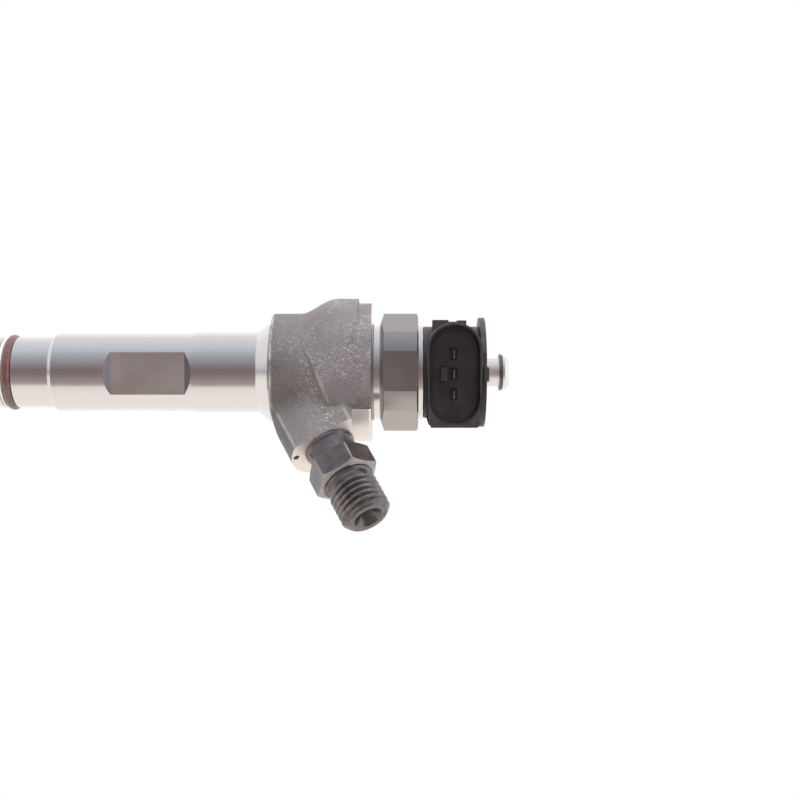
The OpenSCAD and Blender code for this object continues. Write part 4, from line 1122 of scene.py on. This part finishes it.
def make_blades():
    """Blades whose tips are coined thin, and the legs of the two outer ones."""
    tip, root = RIM_FRONT - 4.5, SOCKET_FLOOR - 5.4
    foot = span("terminals")[0]
    width, thick = 1.15, 0.3  # half of the blade's own
    sections = ((root, width, thick), (tip - 1.3, width, thick), (tip - 0.2, width - 0.1, 0.14),
                (tip, width - 0.25, 0.08))
    pieces = []
    for side in (-1, 0, 1):
        points = []
        for y, w, t in sections:
            points += [(side * BLADE_PITCH + x, -y, SOCKET_Z + z)
                       for x, z in ((-w, -t), (w, -t), (w, t), (-w, t))]
        faces = [[3, 2, 1, 0], [12, 13, 14, 15]]
        for ring in range(3):
            for k in range(4):
                m = (k + 1) % 4
                faces.append([4 * ring + k, 4 * ring + m, 4 * ring + m + 4, 4 * ring + k + 4])
        pieces.append(mesh_object("blade_piece", points, faces, [TINNED]))
        if side:
            pieces.append(block("leg", (side * BLADE_PITCH - 0.6, -root, foot),
                                (side * BLADE_PITCH + 0.6, -root + 0.6, SOCKET_Z + thick),
                                [TINNED]))
    blades = join(*pieces)
    soften(blades, 0.04, 2, 50)
    return finish_piece(shade(blades, 30), "terminals")


def make_stub():
    """The return stub: its tube, a dark flange and a bright nose beyond it."""
    shoulder = COVER_FOOT + COVER_HEIGHT
    base, base_top = span("return_stub")[0], span("connector_housing")[0]
    top = span("return_stub")[1]
    flange = top - 2.4
    foot_r, tube_r, barrel_r, nose_r, flange_r = 7.2, 3.0, 3.5, 4.3, 4.5
    bore_r, throat_r = 2.1, 1.1
    outline = rounded([
        (throat_r, base), (foot_r, base), (foot_r, base_top), (tube_r, base_top),
        (tube_r, shoulder), (barrel_r, shoulder), (barrel_r, flange + 0.7),
        (nose_r, flange + 0.75), (nose_r, flange + 1.3), (3.6, top - 0.25), (3.3, top),
        (2.4, top), (bore_r, top - 0.3), (bore_r, base_top + 1), (throat_r, base_top + 1)],
        0.15, 3, closed=True)
    stub = revolve("return_stub_piece", outline, [PLATED], 128, closed=True)
    collar = flat_ring("flange", 3.4, flange_r, flange, flange + 0.6, 0.12, PHOSPHATE, 128)
    join(stub, collar)
    return finish_piece(shade(stub, 30), "return_stub")


make_connector()
make_cover()
make_blades()
make_stub()


# ---- Rings on the body, the washer and the nozzle ----

def torus(name, centre_r, centre_z, section, material):
    steps = 40
    turns = [TAU * k / steps for k in range(steps)]
    outline = [(centre_r + section / 2 * math.cos(t), centre_z + section / 2 * math.sin(t))
               for t in turns]
    return revolve(name, outline, [material], 192, closed=True)


def make_rings():
    low, high = span("body_o_ring")
    section = high - low
    centre_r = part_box("body_o_ring")[1][0] / MM - section / 2
    ring = torus("o_ring_piece", centre_r, (low + high) / 2, section, RED_RUBBER)
    finish_piece(shade(ring, 60), "body_o_ring")
    rings = (("backup", "backup_ring", 7.12, LOWER_R, 0.12, PTFE, "ptfe", 3),
             ("dust", "dust_ring", 10.95, 11.9, 0.12, NUT_STEEL, "turned_steel", 3),
             ("washer", "sealing_washer", 3.6, 7.5, 0.2, COPPER, "copper", 4))
    for name, node, inner, outer, corner, material, slot, steps in rings:
        low, high = span(node)
        ring = flat_ring(f"{name}_piece", inner, outer, low, high, corner, material, steps=steps)
        finish_piece(shade(ring, 40), node)


def make_nozzle_nut():
    """The nut over the nozzle, with milled flats on its upper half."""
    low, high = span("nozzle_nut")
    nut_r, chamfer = 8.5, 1.1
    nozzle_way, nozzle_bore, thread_bore = 3.6, 7.15, 7.5
    seat, thread_foot = BODY_FOOT - 18, BODY_FOOT - 0.5
    hex_foot, hex_top = BODY_FOOT + 3, BODY_FOOT + 13
    nut = revolve("nozzle_nut_piece", rounded([
        (0, low), (nut_r - chamfer, low), (nut_r, low + chamfer), (nut_r, high - 0.4),
        (nut_r - 0.4, high), (0, high)], 0.25, 3), [NUT_STEEL], 192)
    sleeve = cylinder("sleeve", nut_r + 2, hex_foot, hex_top, NUT_STEEL, 96)
    combine(sleeve, prism("flats", hexagon(nut_r - 0.4), hex_foot - 1, hex_top + 1, [MILLED]))
    combine(nut, sleeve)
    bore = revolve("bore", [
        (0, low - 1), (nozzle_way, low - 1), (nozzle_way, seat), (nozzle_bore, seat),
        (nozzle_bore, thread_foot), (thread_bore, thread_foot), (thread_bore, high + 1),
        (0, high + 1)], [NUT_STEEL], 128)
    combine(nut, bore)
    soften(nut, 0.1, 2, 35)
    return finish_piece(shade(nut, 25), "nozzle_nut")


make_rings()
make_nozzle_nut()


# ---- Floor ----

def make_floor():
    """A white disc just under the nozzle's tip."""
    radius, thickness = 170, 2
    top = cad_low[2] / MM - 0.2
    floor = revolve("floor", [(radius, top - thickness), (radius, top), (0, top)], [], 96)
    f = Finish("floor_white", Roughness=0.8)
    f.set("Base Color", f.between(f.noise(12), (0.86, 0.86, 0.86), (0.90, 0.90, 0.90)))
    floor.data.materials.append(f.material)
    floor.visible_glossy = False


make_floor()
add_card()
